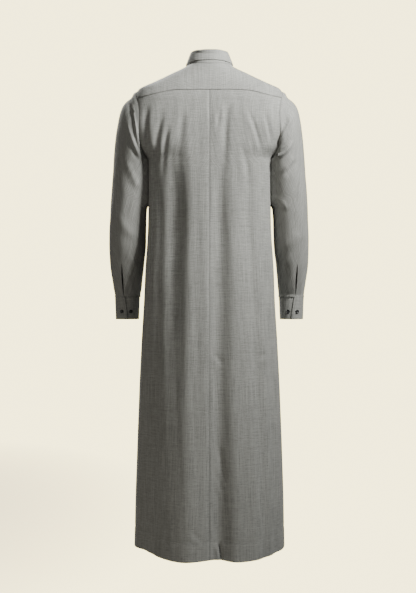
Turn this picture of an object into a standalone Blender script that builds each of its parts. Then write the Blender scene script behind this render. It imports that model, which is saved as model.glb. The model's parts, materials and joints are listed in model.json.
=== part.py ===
"""An ankle-length thobe with a shirt collar, worn by a general figure that isn't there.

Metres, +Z up.  The wearer faces -Y and the wearer's left is +X.  The origin is the middle of the
neck opening at the height of the collar seam, where the wearer's neck and shoulders hold the robe up.

Every piece of cloth is a wall with an outer and an inner face.  The body panels and the yoke are cut
from one form, body_point(turn, z), so their edges follow the same seams.  A turn is an angle round the
body from the centre back: 90 degrees is the left side seam and 180 degrees the centre front.  A sleeve
is a tube from the armhole to the wrist, sleeve_point(side, phi, row), where phi is an angle round the
arm: 0 is the outer side, 90 the back, 180 the inner side and 270 the front.
"""

import math
from collections import namedtuple

import bpy
from mathutils import Matrix, Vector

# ---------------------------------------------------------------- driving sizes, metres and degrees

CLOTH = 0.0016
DOUBLE_CLOTH = 0.0022
SEAM_GAP = 0.0003
ARMHOLE_GAP = 0.0007
EDGE_INSET = 0.00026

HEM_SIDE_Z = -1.397
HEM_BACK_DROP = 0.027
HEM_FRONT_DROP = 0.022
HEM_CENTRE_LIFT = 0.008
HEM_CENTRE_TURN = 16
HEM_DROP_POWER = 1.5

ARMHOLE_Z = -0.1705
ARMHOLE_HALF_HEIGHT = 0.1045
ARMHOLE_BACK = 0.086
ARMHOLE_FRONT = 0.080
ARMHOLE_BACK_CORNER = 43.0
ARMHOLE_FRONT_CORNER = -26.0
BACK_Z_AT_ARMPIT = -0.305

YOKE_MID_Z = -0.077
YOKE_FLAT_X = 0.090

NECK_HALF_WIDTH = 0.0695
NECK_BACK = 0.068
NECK_FRONT = 0.080
NECK_YOKE_CORNER = 116.0

BACK_COLUMNS = 12
YOKE_TOP_COLUMNS = 5
YOKE_ROWS = 5
FRONT_NECK_TURNS = (180.0, 166.0, 153.5, 141.0, 128.5, NECK_YOKE_CORNER)
FRONT_SHOULDER_COLUMNS = 6
LOW_ROWS = 11
ARMHOLE_ROWS = 7

SLIT_BOTTOM_Z = -0.372
PLACKET_HALF_WIDTH = 0.0165
PLACKET_FOOT = 0.24
PLACKET_TIP_PART = 0.6
PLACKET_TIP_RISE = 0.08
PLACKET_HEAD = 0.90
FRONT_BUTTONS = 4
FRONT_BUTTON_TOP_Z = -0.105
FRONT_BUTTON_STEP = 0.074

STAND_TOP_Z = 0.0445
STAND_LEVEL_ANGLE = 95.0
STAND_FRONT_HEIGHT = 0.034
STAND_LEAN = 0.0150
STAND_LAP_START = 141.0
STAND_LAP_FULL = 166.0
STAND_FOOT_GAP = 0.0008
STAND_LAP_LIFT = 0.0012
LAP_STEP = DOUBLE_CLOTH + SEAM_GAP

LEAF_FALL_BACK = 0.0320
LEAF_FALL_SIDE = 0.0370
LEAF_FALL_POINT = 0.0610
LEAF_FALL_ANGLE = 100.0
LEAF_END = 175.0
LEAF_SPREAD = 23.0
LEAF_SPREAD_START = 118.0
LEAF_LAP_START = 133.0
LEAF_LAP_FULL = 148.0
LEAF_CREST = 0.0018
LEAF_CREST_IN = 0.6 * DOUBLE_CLOTH
LEAF_CREST_OUT = 0.6 * CLOTH
LEAF_EASE = 0.0011
LEAF_OVER_BODY = 0.0036
LEAF_BACK_COLUMNS = 10
LEAF_FRONT_COLUMNS = 8
LEAF_DOWN = (0.0, 0.08, 0.30, 0.65, 1.0)

SLEEVE_CLEARANCE = 0.0020
ARMHOLE_REACH = 3.0
ARMHOLE_EASE = 2
CLEAR_BY_ROW = 0.5
SLEEVE_ROWS_BETWEEN = 1
SLIT_PHI = 75.0
SLEEVE_SLIT_TOP_Z = -0.574
SLEEVE_SLIT_GAPE = 3.2
SLEEVE_SLIT_ENDS = 0.3
SLEEVE_SLIT_ROUNDNESS = 0.8
SLEEVE_SLIT_MARGIN = 0.002
SLEEVE_PLACKET_PHIS = (31.0, 20.5, 10.0, 0.0)
SLEEVE_PLACKET_HEAD = 0.25
SLEEVE_END_Z = -0.6680

CUFF_TOP_Z = -0.6686
CUFF_BOTTOM_Z = -0.7380
CUFF_TOP_HALF = (0.0368, 0.0385)
CUFF_BOTTOM_HALF = (0.0338, 0.0365)
CUFF_CENTRE_X = 0.2450
CUFF_CENTRE_Y = -0.060
CUFF_LAP = 40.0
CUFF_LAP_START = 325.0
CUFF_LAP_RUN = 60.0
CUFF_LAP_EDGE = (94.0, 80.0)
CUFF_COLUMNS = 26
CUFF_ROWS = 3
CUFF_BUTTON_Z = -0.7145
CUFF_BUTTON_PHIS = {"outer": 66.0, "inner": 108.0}

BUTTON_RADIUS = 0.0055
BUTTON_HEIGHT = 0.0024
BUTTON_SIDES = 16

CLOTH_COLOUR = (0.262, 0.262, 0.250, 1.0)
BUTTON_COLOUR = (0.030, 0.031, 0.032, 1.0)

# ------------------------------------------------------------------------------ tables of sections

BodySection = namedtuple("BodySection", "name z half_width back front squareness")
BODY = (
    BodySection("above hem", -1.440, 0.2215, 0.1620, 0.1670, 2.30),
    BodySection("shin", -1.210, 0.2160, 0.1530, 0.1590, 2.30),
    BodySection("knee", -1.000, 0.2085, 0.1430, 0.1500, 2.35),
    BodySection("thigh", -0.820, 0.2005, 0.1330, 0.1430, 2.40),
    BodySection("seat", -0.690, 0.1925, 0.1265, 0.1370, 2.45),
    BodySection("hip", -0.590, 0.1885, 0.1210, 0.1340, 2.50),
    BodySection("waist", -0.470, 0.1815, 0.1150, 0.1310, 2.50),
    BodySection("rib", -0.380, 0.1795, 0.1160, 0.1320, 2.60),
    BodySection("armpit", -0.2745, 0.1815, 0.1175, 0.1310, 2.90),
    BodySection("low blade", -0.232, 0.2170, 0.1175, 0.1280, 3.00),
    BodySection("blade", -0.172, 0.2430, 0.1155, 0.1210, 3.00),
    BodySection("blade top", -0.100, 0.2240, 0.1060, 0.1030, 3.10),
    BodySection("shoulder tip", -0.066, 0.2095, 0.0965, 0.0885, 3.00),
    BodySection("mid shoulder", -0.045, 0.1700, 0.0895, 0.0780, 2.70),
    BodySection("inner shoulder", -0.020, 0.1185, 0.0785, 0.0660, 2.40),
    BodySection("neck side", 0.004, 0.0715, 0.0680, 0.0570, 2.20),
    BodySection("neck", 0.024, 0.0480, 0.0560, 0.0460, 2.20),
)

# A fold is a trough that hangs along the body; a negative depth is a ridge.
Fold = namedtuple("Fold", "name top_turn hem_turn half_width depth start_z full_z")
FOLDS = (
    Fold("left back trough", 30, 35, 9, 0.0150, -0.20, -0.48),
    Fold("left back shelf", 52, 56, 15, 0.0150, -0.34, -1.10),
    Fold("left side trough", 64, 64, 9, 0.0050, -0.27, -0.50),
    Fold("right back trough", -10, -8, 8, 0.0065, -0.12, -0.55),
    Fold("right blade trough", -36, -44, 8, 0.0040, -0.20, -0.50),
    Fold("right side trough", -60, -58, 9, 0.0060, -0.27, -0.70),
    Fold("centre back hollow", -4, -5, 17, 0.0200, -0.85, -1.40),
    Fold("left front trough", 152, 150, 10, 0.0130, -0.26, -0.60),
    Fold("right front trough", -150, -147, 10, 0.0110, -0.26, -0.60),
    Fold("left front side trough", 118, 120, 9, 0.0070, -0.26, -0.60),
    Fold("right front side trough", -121, -119, 9, 0.0080, -0.26, -0.60),
    Fold("centre front hollow", 179, 178, 16, 0.0140, -0.90, -1.40),
)

SleeveSection = namedtuple(
    "SleeveSection", "name outer_x outer_z inner_x inner_z half_depth centre_y"
)
SLEEVE = (
    SleeveSection("armhole", 0.2100, -0.066, 0.1820, -0.275, 0.0830, 0.003),
    SleeveSection("cap", 0.2360, -0.0835, 0.1830, -0.290, 0.0840, 0.002),
    SleeveSection("head", 0.2560, -0.110, 0.1825, -0.308, 0.0820, 0.000),
    SleeveSection("biceps", 0.2735, -0.190, 0.1800, -0.345, 0.0740, -0.003),
    SleeveSection("upper arm", 0.2830, -0.300, 0.1835, -0.388, 0.0660, -0.006),
    SleeveSection("above elbow", 0.2922, -0.420, 0.1885, -0.445, 0.0600, -0.014),
    SleeveSection("elbow", 0.2950, -0.510, 0.1905, -0.515, 0.0560, -0.024),
    SleeveSection("forearm", 0.2935, -0.570, 0.1975, -0.571, 0.0510, -0.036),
    SleeveSection("wrist", 0.2862, -0.630, 0.2050, -0.630, 0.0440, -0.050),
    SleeveSection("cuff seam", 0.2820, SLEEVE_END_Z, 0.2085, SLEEVE_END_Z, 0.0385, -0.060),
)

# The button's profile from its rim to its middle: how far out, and how high above its back.
ButtonRing = namedtuple("ButtonRing", "name reach height")
BUTTON = (
    ButtonRing("back", 0.78, 0.00),
    ButtonRing("edge", 1.00, 0.35),
    ButtonRing("rim", 0.96, 0.80),
    ButtonRing("crest", 0.80, 1.00),
    ButtonRing("dish", 0.58, 0.72),
    ButtonRing("well", 0.30, 0.62),
)


# --------------------------------------------------------------------------------- smooth profiles


class Profile:
    """A smooth curve through a table's rows that never swings past them."""

    def __init__(self, rows, knots):
        order = sorted(range(len(rows)), key=lambda i: knots[i])
        self.knots = [knots[i] for i in order]
        self.row_type = type(rows[0])
        self.name = rows[0][0]
        self.columns = [[rows[i][c] for i in order] for c in range(1, len(rows[0]))]
        self.slopes = [self.column_slopes(values) for values in self.columns]

    def column_slopes(self, values):
        """Monotone slopes at the knots."""
        knots = self.knots
        chords = [
            (values[i + 1] - values[i]) / (knots[i + 1] - knots[i]) for i in range(len(knots) - 1)
        ]
        slopes = [chords[0]]
        for before, after in zip(chords, chords[1:]):
            flat = before * after <= 0
            slopes.append(0.0 if flat else 2 * before * after / (before + after))
        slopes.append(chords[-1])
        return slopes

    def at(self, knot):
        """The table's row at a place between its rows."""
        knots = self.knots
        knot = min(max(knot, knots[0]), knots[-1])
        i = 0
        while i < len(knots) - 2 and knot > knots[i + 1]:
            i += 1
        span = knots[i + 1] - knots[i]
        t = (knot - knots[i]) / span
        values = [
            (1 + 2 * t) * (1 - t) ** 2 * column[i]
            + t * (1 - t) ** 2 * span * slope[i]
            + t * t * (3 - 2 * t) * column[i + 1]
            + t * t * (t - 1) * span * slope[i + 1]
            for column, slope in zip(self.columns, self.slopes)
        ]
        return self.row_type(self.name, *values)


BODY_FORM = Profile(BODY, [section.z for section in BODY])
SLEEVE_FORM = Profile(SLEEVE, list(range(len(SLEEVE))))


def blend(a, b, t):
    return a + (b - a) * t


def smooth_step(t):
    t = min(max(t, 0.0), 1.0)
    return t * t * (3 - 2 * t)


# ---------------------------------------------------------------------------------- the body's form


def fold_depth(turn, z):
    """How far the cloth lies inside the plain form at a turn in degrees and a height."""
    total = 0.0
    for fold in FOLDS:
        along = (fold.start_z - z) / (fold.start_z - HEM_SIDE_Z)
        centre = blend(fold.top_turn, fold.hem_turn, min(max(along, 0.0), 1.0))
        away = (turn - centre + 180) % 360 - 180
        grown = smooth_step((fold.start_z - z) / (fold.start_z - fold.full_z))
        total += fold.depth * grown * math.exp(-((away / fold.half_width) ** 2))
    return total


def body_point(turn, z):
    """A point of the outer face; turn is in degrees, signed towards the wearer's left."""
    section = BODY_FORM.at(z)
    power = section.squareness
    s = math.sin(math.radians(turn))
    c = math.cos(math.radians(turn))
    depth = section.back if c > 0 else section.front
    reach = (abs(s) ** power + abs(c) ** power) ** (-1 / power)
    x = section.half_width * reach * s
    y = depth * reach * c
    out_x = math.copysign(abs(x / section.half_width) ** (power - 1) / section.half_width, s)
    out_y = math.copysign(abs(y / depth) ** (power - 1) / depth, c)
    trough = fold_depth(turn, z) / math.hypot(out_x, out_y)
    return Vector((x - out_x * trough, y - out_y * trough, z))


def body_normal(turn, z):
    """The direction out of the cloth at a point of the body."""
    around = body_point(turn + 1.0, z) - body_point(turn - 1.0, z)
    down = body_point(turn, z - 0.002) - body_point(turn, z + 0.002)
    return around.cross(down).normalized()


def body_side_x(y, z):
    """How far out the plain form reaches at a depth and a height."""
    section = BODY_FORM.at(z)
    depth = section.back if y > 0 else section.front
    inside = 1 - (abs(y) / depth) ** section.squareness
    return section.half_width * max(inside, 0.0) ** (1 / section.squareness)


def turn_of(x, y, z):
    """The turn at which the form at a height lies in the direction of a point."""
    section = BODY_FORM.at(z)
    depth = section.back if y > 0 else section.front
    return math.degrees(math.atan2(x / section.half_width, y / depth))


def height_over(x, y):
    """The height of the shoulders above a point of the plan."""
    low, high = -0.32, 0.024
    for _ in range(40):
        z = (low + high) / 2
        section = BODY_FORM.at(z)
        depth = section.back if y > 0 else section.front
        power = section.squareness
        outside = (abs(x) / section.half_width) ** power + (abs(y) / depth) ** power > 1
        low, high = (low, z) if outside else (z, high)
    return (low + high) / 2


def neck_plan(angle):
    """A point of the neckline in plan; the angle runs from the centre back to the centre front."""
    s = math.sin(math.radians(angle))
    c = math.cos(math.radians(angle))
    return NECK_HALF_WIDTH * s, (NECK_BACK if c > 0 else NECK_FRONT) * c


def neckline(angle):
    """The turn and height of the neckline at an angle."""
    x, y = neck_plan(angle)
    z = height_over(x, y)
    return turn_of(x, y, z), z


def armhole(phi):
    """The turn and height of the left armhole at an angle round it."""
    s = math.sin(math.radians(phi))
    y = (ARMHOLE_BACK if s > 0 else ARMHOLE_FRONT) * s
    z = ARMHOLE_Z + ARMHOLE_HALF_HEIGHT * math.cos(math.radians(phi))
    return turn_of(body_side_x(y, z), y, z), z


def yoke_seam(x):
    """The turn and height of the back yoke seam at a distance from the centre back."""
    corner_turn, corner_z = armhole(ARMHOLE_BACK_CORNER)
    corner_x = body_point(corner_turn, corner_z).x
    z = blend(YOKE_MID_Z, corner_z, smooth_step((x - YOKE_FLAT_X) / (corner_x - YOKE_FLAT_X)))
    section = BODY_FORM.at(z)
    inside = 1 - (x / section.half_width) ** section.squareness
    return turn_of(x, section.back * inside ** (1 / section.squareness), z), z


def front_seam(along):
    """The front shoulder seam, from the neckline (0) to the armhole (1)."""
    start = neckline(NECK_YOKE_CORNER)
    end = armhole(ARMHOLE_FRONT_CORNER)
    return blend(start[0], end[0], along), blend(start[1], end[1], along)


def hem_z(turn):
    """The height of the hem, lower at the back and front than at the side seams."""
    c = math.cos(math.radians(turn))
    drop = (HEM_BACK_DROP if c > 0 else HEM_FRONT_DROP) * abs(c) ** HEM_DROP_POWER
    from_centre = min(abs(turn), 180 - abs(turn)) / HEM_CENTRE_TURN
    return HEM_SIDE_Z - drop + HEM_CENTRE_LIFT * math.exp(-(from_centre**2))


# ------------------------------------------------------------------------------- walls out of points


class Cloth:
    """Collects the faces of a piece and closes them into a wall of even thickness."""

    def __init__(self, name, thickness, colour=CLOTH_COLOUR):
        self.name = name
        self.thickness = thickness
        self.colour = colour
        self.outer = {}
        self.normals = {}
        self.faces = []

    def point(self, key, place, normal):
        self.outer[key] = Vector(place)
        self.normals[key] = Vector(normal)
        return key

    def grid(self, keys):
        """Triangles between neighbouring rows of keys, each quad cut along its shorter diagonal."""
        for row, after in zip(keys, keys[1:]):
            for j in range(len(row) - 1):
                a, b, c, d = row[j], row[j + 1], after[j + 1], after[j]
                falling = (self.outer[a] - self.outer[c]).length
                rising = (self.outer[b] - self.outer[d]).length
                if falling < rising:
                    self.faces += [(a, b, c), (a, c, d)]
                else:
                    self.faces += [(a, b, d), (b, c, d)]

    def inset(self, edge, inner):
        """Moves an edge a little towards the row beside it, to leave the seam's gap."""
        for key, beside in zip(edge, inner):
            way = self.outer[beside] - self.outer[key]
            self.outer[key] += way.normalized() * EDGE_INSET

    def lift(self, distance):
        for key, normal in self.normals.items():
            self.outer[key] += normal * distance

    def build(self):
        """Makes the object: the outer face, the inner face and a rim along every free edge."""
        index = {key: i for i, key in enumerate(self.outer)}
        count = len(index)
        points = list(self.outer.values())
        points += [self.outer[key] - self.normals[key] * self.thickness for key in index]
        faces = [tuple(index[key] for key in face) for face in self.faces]
        if self.faces_inwards(points, faces, count):
            faces = [face[::-1] for face in faces]
        used = {(a, b) for face in faces for a, b in zip(face, face[1:] + face[:1])}
        rims = [(b, a, a + count, b + count) for a, b in sorted(used) if (b, a) not in used]
        backs = [tuple(i + count for i in face[::-1]) for face in faces]
        return make_object(self.name, points, faces + backs + rims, self.colour)

    @staticmethod
    def faces_inwards(points, faces, count):
        total = 0.0
        for face in faces:
            a, b, c = (points[i] for i in face)
            total += (b - a).cross(c - b).dot(points[face[1]] - points[face[1] + count])
        return total < 0


def make_object(name, points, faces, colour):
    mesh = bpy.data.meshes.new(name)
    mesh.from_pydata([tuple(point) for point in points], [], faces)
    mesh.validate()
    mesh.shade_smooth()
    mesh.set_sharp_from_angle(angle=math.radians(40))
    thing = bpy.data.objects.new(name, mesh)
    bpy.context.scene.collection.objects.link(thing)
    material = bpy.data.materials.new(name)
    material.use_nodes = True
    shader = material.node_tree.nodes["Principled BSDF"]
    shader.inputs["Base Color"].default_value = colour
    shader.inputs["Roughness"].default_value = 0.35 if colour == BUTTON_COLOUR else 0.85
    shader.inputs["Metallic"].default_value = 0.0
    mesh.materials.append(material)
    return thing


# --------------------------------------------------------------------------------- body and yoke


def side_rows():
    """The turn and height of each row's end up the side seam, from the hem to the armpit."""
    armpit_z = ARMHOLE_Z - ARMHOLE_HALF_HEIGHT
    return [(90.0, blend(HEM_SIDE_Z, armpit_z, i / LOW_ROWS)) for i in range(LOW_ROWS + 1)]


def patch(left, right, bottom, top):
    """Fills a four-sided patch of turns and heights from its four borders."""
    rows = []
    for i in range(len(left)):
        v = i / (len(left) - 1)
        row = []
        for j in range(len(bottom)):
            u = j / (len(bottom) - 1)
            value = [
                (1 - u) * left[i][k] + u * right[i][k]
                + (1 - v) * bottom[j][k] + v * top[j][k]
                - (1 - u) * (1 - v) * bottom[0][k] - u * (1 - v) * bottom[-1][k]
                - (1 - u) * v * top[0][k] - u * v * top[-1][k]
                for k in (0, 1)
            ]
            row.append(tuple(value))
        rows.append(row)
    return rows


def centre_rows(turn, armpit_z, top_z):
    """The rows' ends on a centre line, from the hem past the armpit's row to its top."""
    rows = [(turn, blend(hem_z(turn), armpit_z, i / LOW_ROWS)) for i in range(LOW_ROWS)]
    for i in range(ARMHOLE_ROWS + 1):
        rows.append((turn, blend(armpit_z, top_z, i / ARMHOLE_ROWS)))
    return rows


def armhole_phis():
    """The angles round the armhole at which every piece that meets there has a point."""
    back = [blend(180.0, SLIT_PHI, i / 5) for i in range(5)]
    back += [SLIT_PHI, blend(SLIT_PHI, ARMHOLE_BACK_CORNER, 0.5), ARMHOLE_BACK_CORNER]
    front = [blend(180.0, 360 + ARMHOLE_FRONT_CORNER, i / ARMHOLE_ROWS) for i in range(ARMHOLE_ROWS + 1)]
    top = [
        blend(ARMHOLE_BACK_CORNER, ARMHOLE_FRONT_CORNER, i / YOKE_TOP_COLUMNS)
        for i in range(YOKE_TOP_COLUMNS + 1)
    ]
    return back, front, top


def half_panel(cloth, side, rows, prefix):
    """Adds one half of the body's cloth on a side, 1 for the wearer's left and -1 for the right."""
    keys = []
    for i, row in enumerate(rows):
        keys.append([])
        for j, (turn, z) in enumerate(row):
            key = (prefix, i, j)
            cloth.point(key, body_point(side * turn, z), body_normal(side * turn, z))
            keys[-1].append(key)
    return keys


def inset_sides(cloth, keys, left, top):
    """Leaves the seam gap along the side seam and armhole, and along the other named edges."""
    cloth.inset([row[-1] for row in keys], [row[-2] for row in keys])
    if left:
        cloth.inset([row[0] for row in keys], [row[1] for row in keys])
    if top:
        cloth.inset(keys[-1], keys[-2])


def back_rows():
    """The turns and heights of a back panel's points."""
    back_phis = armhole_phis()[0]
    right = side_rows() + [armhole(phi) for phi in back_phis[1:]]
    left = centre_rows(0.0, BACK_Z_AT_ARMPIT, YOKE_MID_Z)
    steps = [j / BACK_COLUMNS for j in range(BACK_COLUMNS + 1)]
    bottom = [(90.0 * u, hem_z(90.0 * u)) for u in steps]
    corner_x = body_point(*armhole(ARMHOLE_BACK_CORNER)).x
    top = [yoke_seam(u * corner_x) for u in steps]
    return patch(left, right, bottom, top)


def front_rows():
    """The turns and heights of half the front's points, from the centre to the side."""
    front_phis = armhole_phis()[1]
    right = side_rows() + [armhole(phi) for phi in front_phis[1:]]
    top = [neckline(angle) for angle in FRONT_NECK_TURNS]
    top += [front_seam((i + 1) / FRONT_SHOULDER_COLUMNS) for i in range(FRONT_SHOULDER_COLUMNS)]
    left = centre_rows(180.0, SLIT_BOTTOM_Z, top[0][1])
    count = len(top) - 1
    bottom = [(180.0 - 90.0 * j / count, hem_z(180.0 - 90.0 * j / count)) for j in range(count + 1)]
    return patch(left, right, bottom, top)


def build_back(name, side):
    cloth = Cloth(name, CLOTH)
    keys = half_panel(cloth, side, back_rows(), "back")
    cloth.grid(keys)
    inset_sides(cloth, keys, left=True, top=True)
    return cloth.build()


def build_front():
    """One panel, whole below the slit and parted above it."""
    cloth = Cloth("front", CLOTH)
    rows = front_rows()
    slit_row = LOW_ROWS + 1
    halves = []
    for side, prefix in ((1, "left"), (-1, "right")):
        keys = half_panel(cloth, side, rows, prefix)
        halves.append(keys)
        inset_sides(cloth, keys, left=False, top=True)
        edge = [row[0] for row in keys[slit_row:]]
        cloth.inset(edge, [row[1] for row in keys[slit_row:]])
    for i in range(slit_row):
        shared = halves[0][i][0]
        del cloth.outer[halves[1][i][0]]
        del cloth.normals[halves[1][i][0]]
        halves[1][i][0] = shared
        cloth.outer[shared].x = 0.0
        cloth.normals[shared] = body_normal(180.0, cloth.outer[shared].z)
    cloth.grid(halves[0])
    cloth.grid([row[::-1] for row in halves[1]])
    return cloth.build()


def build_yoke():
    """The yoke, spread from the neckline to the back seam, the armholes and the front seams."""
    cloth = Cloth("back_yoke", CLOTH)
    top_phis = armhole_phis()[2]
    corner_x = body_point(*armhole(ARMHOLE_BACK_CORNER)).x
    outer = [yoke_seam(corner_x * j / BACK_COLUMNS) for j in range(BACK_COLUMNS + 1)]
    outer += [armhole(phi) for phi in top_phis[1:]]
    inner = [neckline(angle) for angle in yoke_neck_angles()]
    columns = []
    for side in (-1, 1):
        order = range(len(outer) - 1, -1, -1) if side < 0 else range(1, len(outer))
        for j in order:
            columns.append((side, inner[j], outer[j]))
    keys = []
    for i in range(YOKE_ROWS + 1):
        v = i / YOKE_ROWS
        keys.append([])
        for j, (side, start, end) in enumerate(columns):
            turn = side * blend(start[0], end[0], v)
            z = blend(start[1], end[1], v)
            keys[-1].append(cloth.point((i, j), body_point(turn, z), body_normal(turn, z)))
    cloth.grid(keys)
    cloth.inset(keys[-1], keys[-2])
    for end, beside in ((0, 1), (-1, -2)):
        cloth.inset([row[end] for row in keys], [row[beside] for row in keys])
    return cloth.build()


def yoke_neck_angles():
    """The neckline angles of half the yoke's columns, from the centre back to the front seam."""
    count = BACK_COLUMNS + YOKE_TOP_COLUMNS
    return [NECK_YOKE_CORNER * j / count for j in range(count + 1)]


def placket_half_row(side, row):
    """The points and normals of half a row of the front placket, out from the centre."""
    centre = body_point(180.0, row[0][1])
    beside = body_point(side * row[1][0], row[1][1])
    along = min(PLACKET_HALF_WIDTH / abs(beside.x), 1.0)
    edge = centre.lerp(beside, along)
    normal = body_normal(180.0, row[0][1]).lerp(body_normal(side * row[1][0], row[1][1]), along)
    return (centre, body_normal(180.0, row[0][1])), (edge, normal.normalized())


def build_front_placket():
    """A strip over the front slit, pointed at its foot, made from the front's points."""
    cloth = Cloth("front_placket", DOUBLE_CLOTH)
    rows = front_rows()[LOW_ROWS - 1:]
    halves = {side: [placket_half_row(side, row) for row in rows] for side in (-1, 1)}
    stations = [1 - PLACKET_FOOT, 1 - PLACKET_FOOT * PLACKET_TIP_PART]
    stations += list(range(1, len(rows) - 1)) + [len(rows) - 2 + PLACKET_HEAD]
    keys = []
    for i, station in enumerate(stations):
        k = min(int(station), len(rows) - 2)
        part = station - k
        keys.append([])
        for side, column in ((-1, 1), (-1, 0), (1, 1)):
            below, above = halves[side][k][column], halves[side][k + 1][column]
            if i == 0 and column == 1:
                centre = halves[side][k][0][0].lerp(halves[side][k + 1][0][0], part)
                place = centre.lerp(below[0].lerp(above[0], part), PLACKET_TIP_RISE)
            else:
                place = below[0].lerp(above[0], part)
            normal = below[1].lerp(above[1], part).normalized()
            keys[-1].append(cloth.point((i, side * column), place, normal))
    cloth.grid(keys)
    cloth.lift(SEAM_GAP * 2 + DOUBLE_CLOTH)
    return cloth.build()


# ---------------------------------------------------------------------------------------- collar


def leaf_angles():
    """The neckline angles of the leaf's columns, from its right end to its left end."""
    half = [NECK_YOKE_CORNER * j / LEAF_BACK_COLUMNS for j in range(LEAF_BACK_COLUMNS + 1)]
    for j in range(LEAF_FRONT_COLUMNS):
        half.append(blend(NECK_YOKE_CORNER, LEAF_END, (j + 1) / LEAF_FRONT_COLUMNS))
    return [-angle for angle in reversed(half[1:])] + half


def stand_angles():
    """The leaf's angles, carried past the centre front at both ends for the lap."""
    past_front = 360 - FRONT_NECK_TURNS[1]
    return [-past_front, -180.0] + leaf_angles()[1:-1] + [180.0, past_front]


def neck_point(angle, out):
    """A point of the neckline, moved out from the neck in plan; past 180 it has lapped the front."""
    x, y = neck_plan(abs(angle))
    z = height_over(abs(x), y)
    way = Vector((math.copysign(1.0, angle) * x, y, 0.0))
    return way + way.normalized() * out + Vector((0.0, 0.0, z))


def stand_height(angle, neck_z):
    """How high the stand is: level on top round the back, even round the front."""
    angle = min(abs(angle), 360 - abs(angle))
    if angle < STAND_LEVEL_ANGLE:
        return STAND_TOP_Z - neck_z
    level = STAND_TOP_Z - neckline(STAND_LEVEL_ANGLE)[1]
    along = (angle - STAND_LEVEL_ANGLE) / (180 - STAND_LEVEL_ANGLE)
    return blend(level, STAND_FRONT_HEIGHT, smooth_step(along))


def stand_point(angle, up):
    """A point of the stand's outer face, leaning in towards the neck as it rises."""
    lapped = smooth_step((angle - STAND_LAP_START) / (STAND_LAP_FULL - STAND_LAP_START))
    foot = neck_point(angle, 0.0)
    place = neck_point(angle, LAP_STEP * lapped - STAND_LEAN * up)
    rise = STAND_FOOT_GAP + STAND_LAP_LIFT * lapped + stand_height(angle, foot.z) * up
    return place + Vector((0.0, 0.0, rise))


def plan_normal(point):
    return Vector((point.x, point.y, 0.0)).normalized()


def build_collar_stand():
    """A band that starts under its own lap at the front and ends over it."""
    cloth = Cloth("collar_stand", DOUBLE_CLOTH)
    keys = []
    for i, up in enumerate((0.0, 0.5, 1.0)):
        keys.append([])
        for angle in stand_angles():
            place = stand_point(angle, up)
            keys[-1].append(cloth.point((i, angle), place, plan_normal(place)))
    cloth.grid(keys)
    return cloth.build()


def leaf_fall(angle):
    """How far the leaf falls below its fold, longest at its points."""
    side = blend(LEAF_FALL_BACK, LEAF_FALL_SIDE, smooth_step(angle / LEAF_FALL_ANGLE))
    along = max((angle - LEAF_FALL_ANGLE) / (LEAF_END - LEAF_FALL_ANGLE), 0.0)
    return blend(side, LEAF_FALL_POINT, along**2)


def leaf_lapped(angle):
    """How much of the stand's lap the leaf makes room for, on both sides alike."""
    return smooth_step((angle - LEAF_LAP_START) / (LEAF_LAP_FULL - LEAF_LAP_START))


def stand_reach(angle, z):
    """How far from the neck's middle the stand's outer face is, its lap counted on both sides."""
    foot = neck_point(-angle, 0.0)
    up = min(max((z - foot.z - STAND_FOOT_GAP) / stand_height(angle, foot.z), 0.0), 1.0)
    return math.hypot(foot.x, foot.y) - STAND_LEAN * up + LAP_STEP * leaf_lapped(angle)


def body_reach(angle, z):
    """How far from the neck's middle the body's form is at a neckline angle and a height."""
    x, y = neck_plan(angle)
    section = BODY_FORM.at(z)
    power = section.squareness
    depth = section.back if y > 0 else section.front
    scale = (abs(x) / section.half_width) ** power + (abs(y) / depth) ** power
    return math.hypot(x, y) * scale ** (-1 / power)


def leaf_place(angle, reach, z):
    x, y = neck_plan(angle)
    return Vector((x, y, 0.0)).normalized() * reach + Vector((0.0, 0.0, z))


def leaf_column(angle):
    """The leaf's outer points at an angle, from inside its fold over the stand and down to its edge."""
    spread = LEAF_SPREAD * smooth_step((angle - LEAF_SPREAD_START) / (LEAF_END - LEAF_SPREAD_START))
    top_z = stand_point(-angle, 1.0).z + STAND_LAP_LIFT * leaf_lapped(angle)
    crest_z = top_z + LEAF_CREST + CLOTH
    reach = stand_reach(angle, top_z)
    places = [leaf_place(angle, reach - LEAF_CREST_IN, crest_z)]
    places.append(leaf_place(angle, reach + LEAF_CREST_OUT, crest_z))
    for down in LEAF_DOWN[1:]:
        at = angle - spread * down
        z = crest_z - leaf_fall(angle) * down - LEAF_CREST * (1 - down)
        reach = stand_reach(at, z) + CLOTH + LEAF_EASE
        reach = max(reach, body_reach(at, z - LEAF_OVER_BODY) + LEAF_OVER_BODY)
        places.append(leaf_place(at, reach, z))
    return places


def build_collar_leaf():
    """The leaf, folded over the stand's top, its two points apart at the front."""
    cloth = Cloth("collar_leaf", CLOTH)
    columns = []
    for angle in leaf_angles():
        column = leaf_column(abs(angle))
        for place in column:
            place.x = math.copysign(place.x, angle)
        columns.append(column)
    last = len(columns) - 1
    keys = [[(i, j) for j in range(last + 1)] for i in range(len(columns[0]))]
    for j, column in enumerate(columns):
        for i, place in enumerate(column):
            beside = columns[min(j + 1, last)][i] - columns[max(j - 1, 0)][i]
            down = column[min(i + 1, len(column) - 1)] - column[max(i - 1, 0)]
            cloth.point((i, j), place, beside.cross(down).normalized())
    cloth.grid(keys)
    return cloth.build()


# --------------------------------------------------------------------------------- sleeves and cuffs


def sleeve_start(phi):
    """A point of the left sleeve's first ring, just inside the armhole's edge on the body's form."""
    s = math.sin(math.radians(phi))
    y = ((ARMHOLE_BACK if s > 0 else ARMHOLE_FRONT) - ARMHOLE_GAP) * s
    z = ARMHOLE_Z + (ARMHOLE_HALF_HEIGHT - ARMHOLE_GAP) * math.cos(math.radians(phi))
    return Vector((body_side_x(y, z) + SEAM_GAP, y, z))


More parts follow.
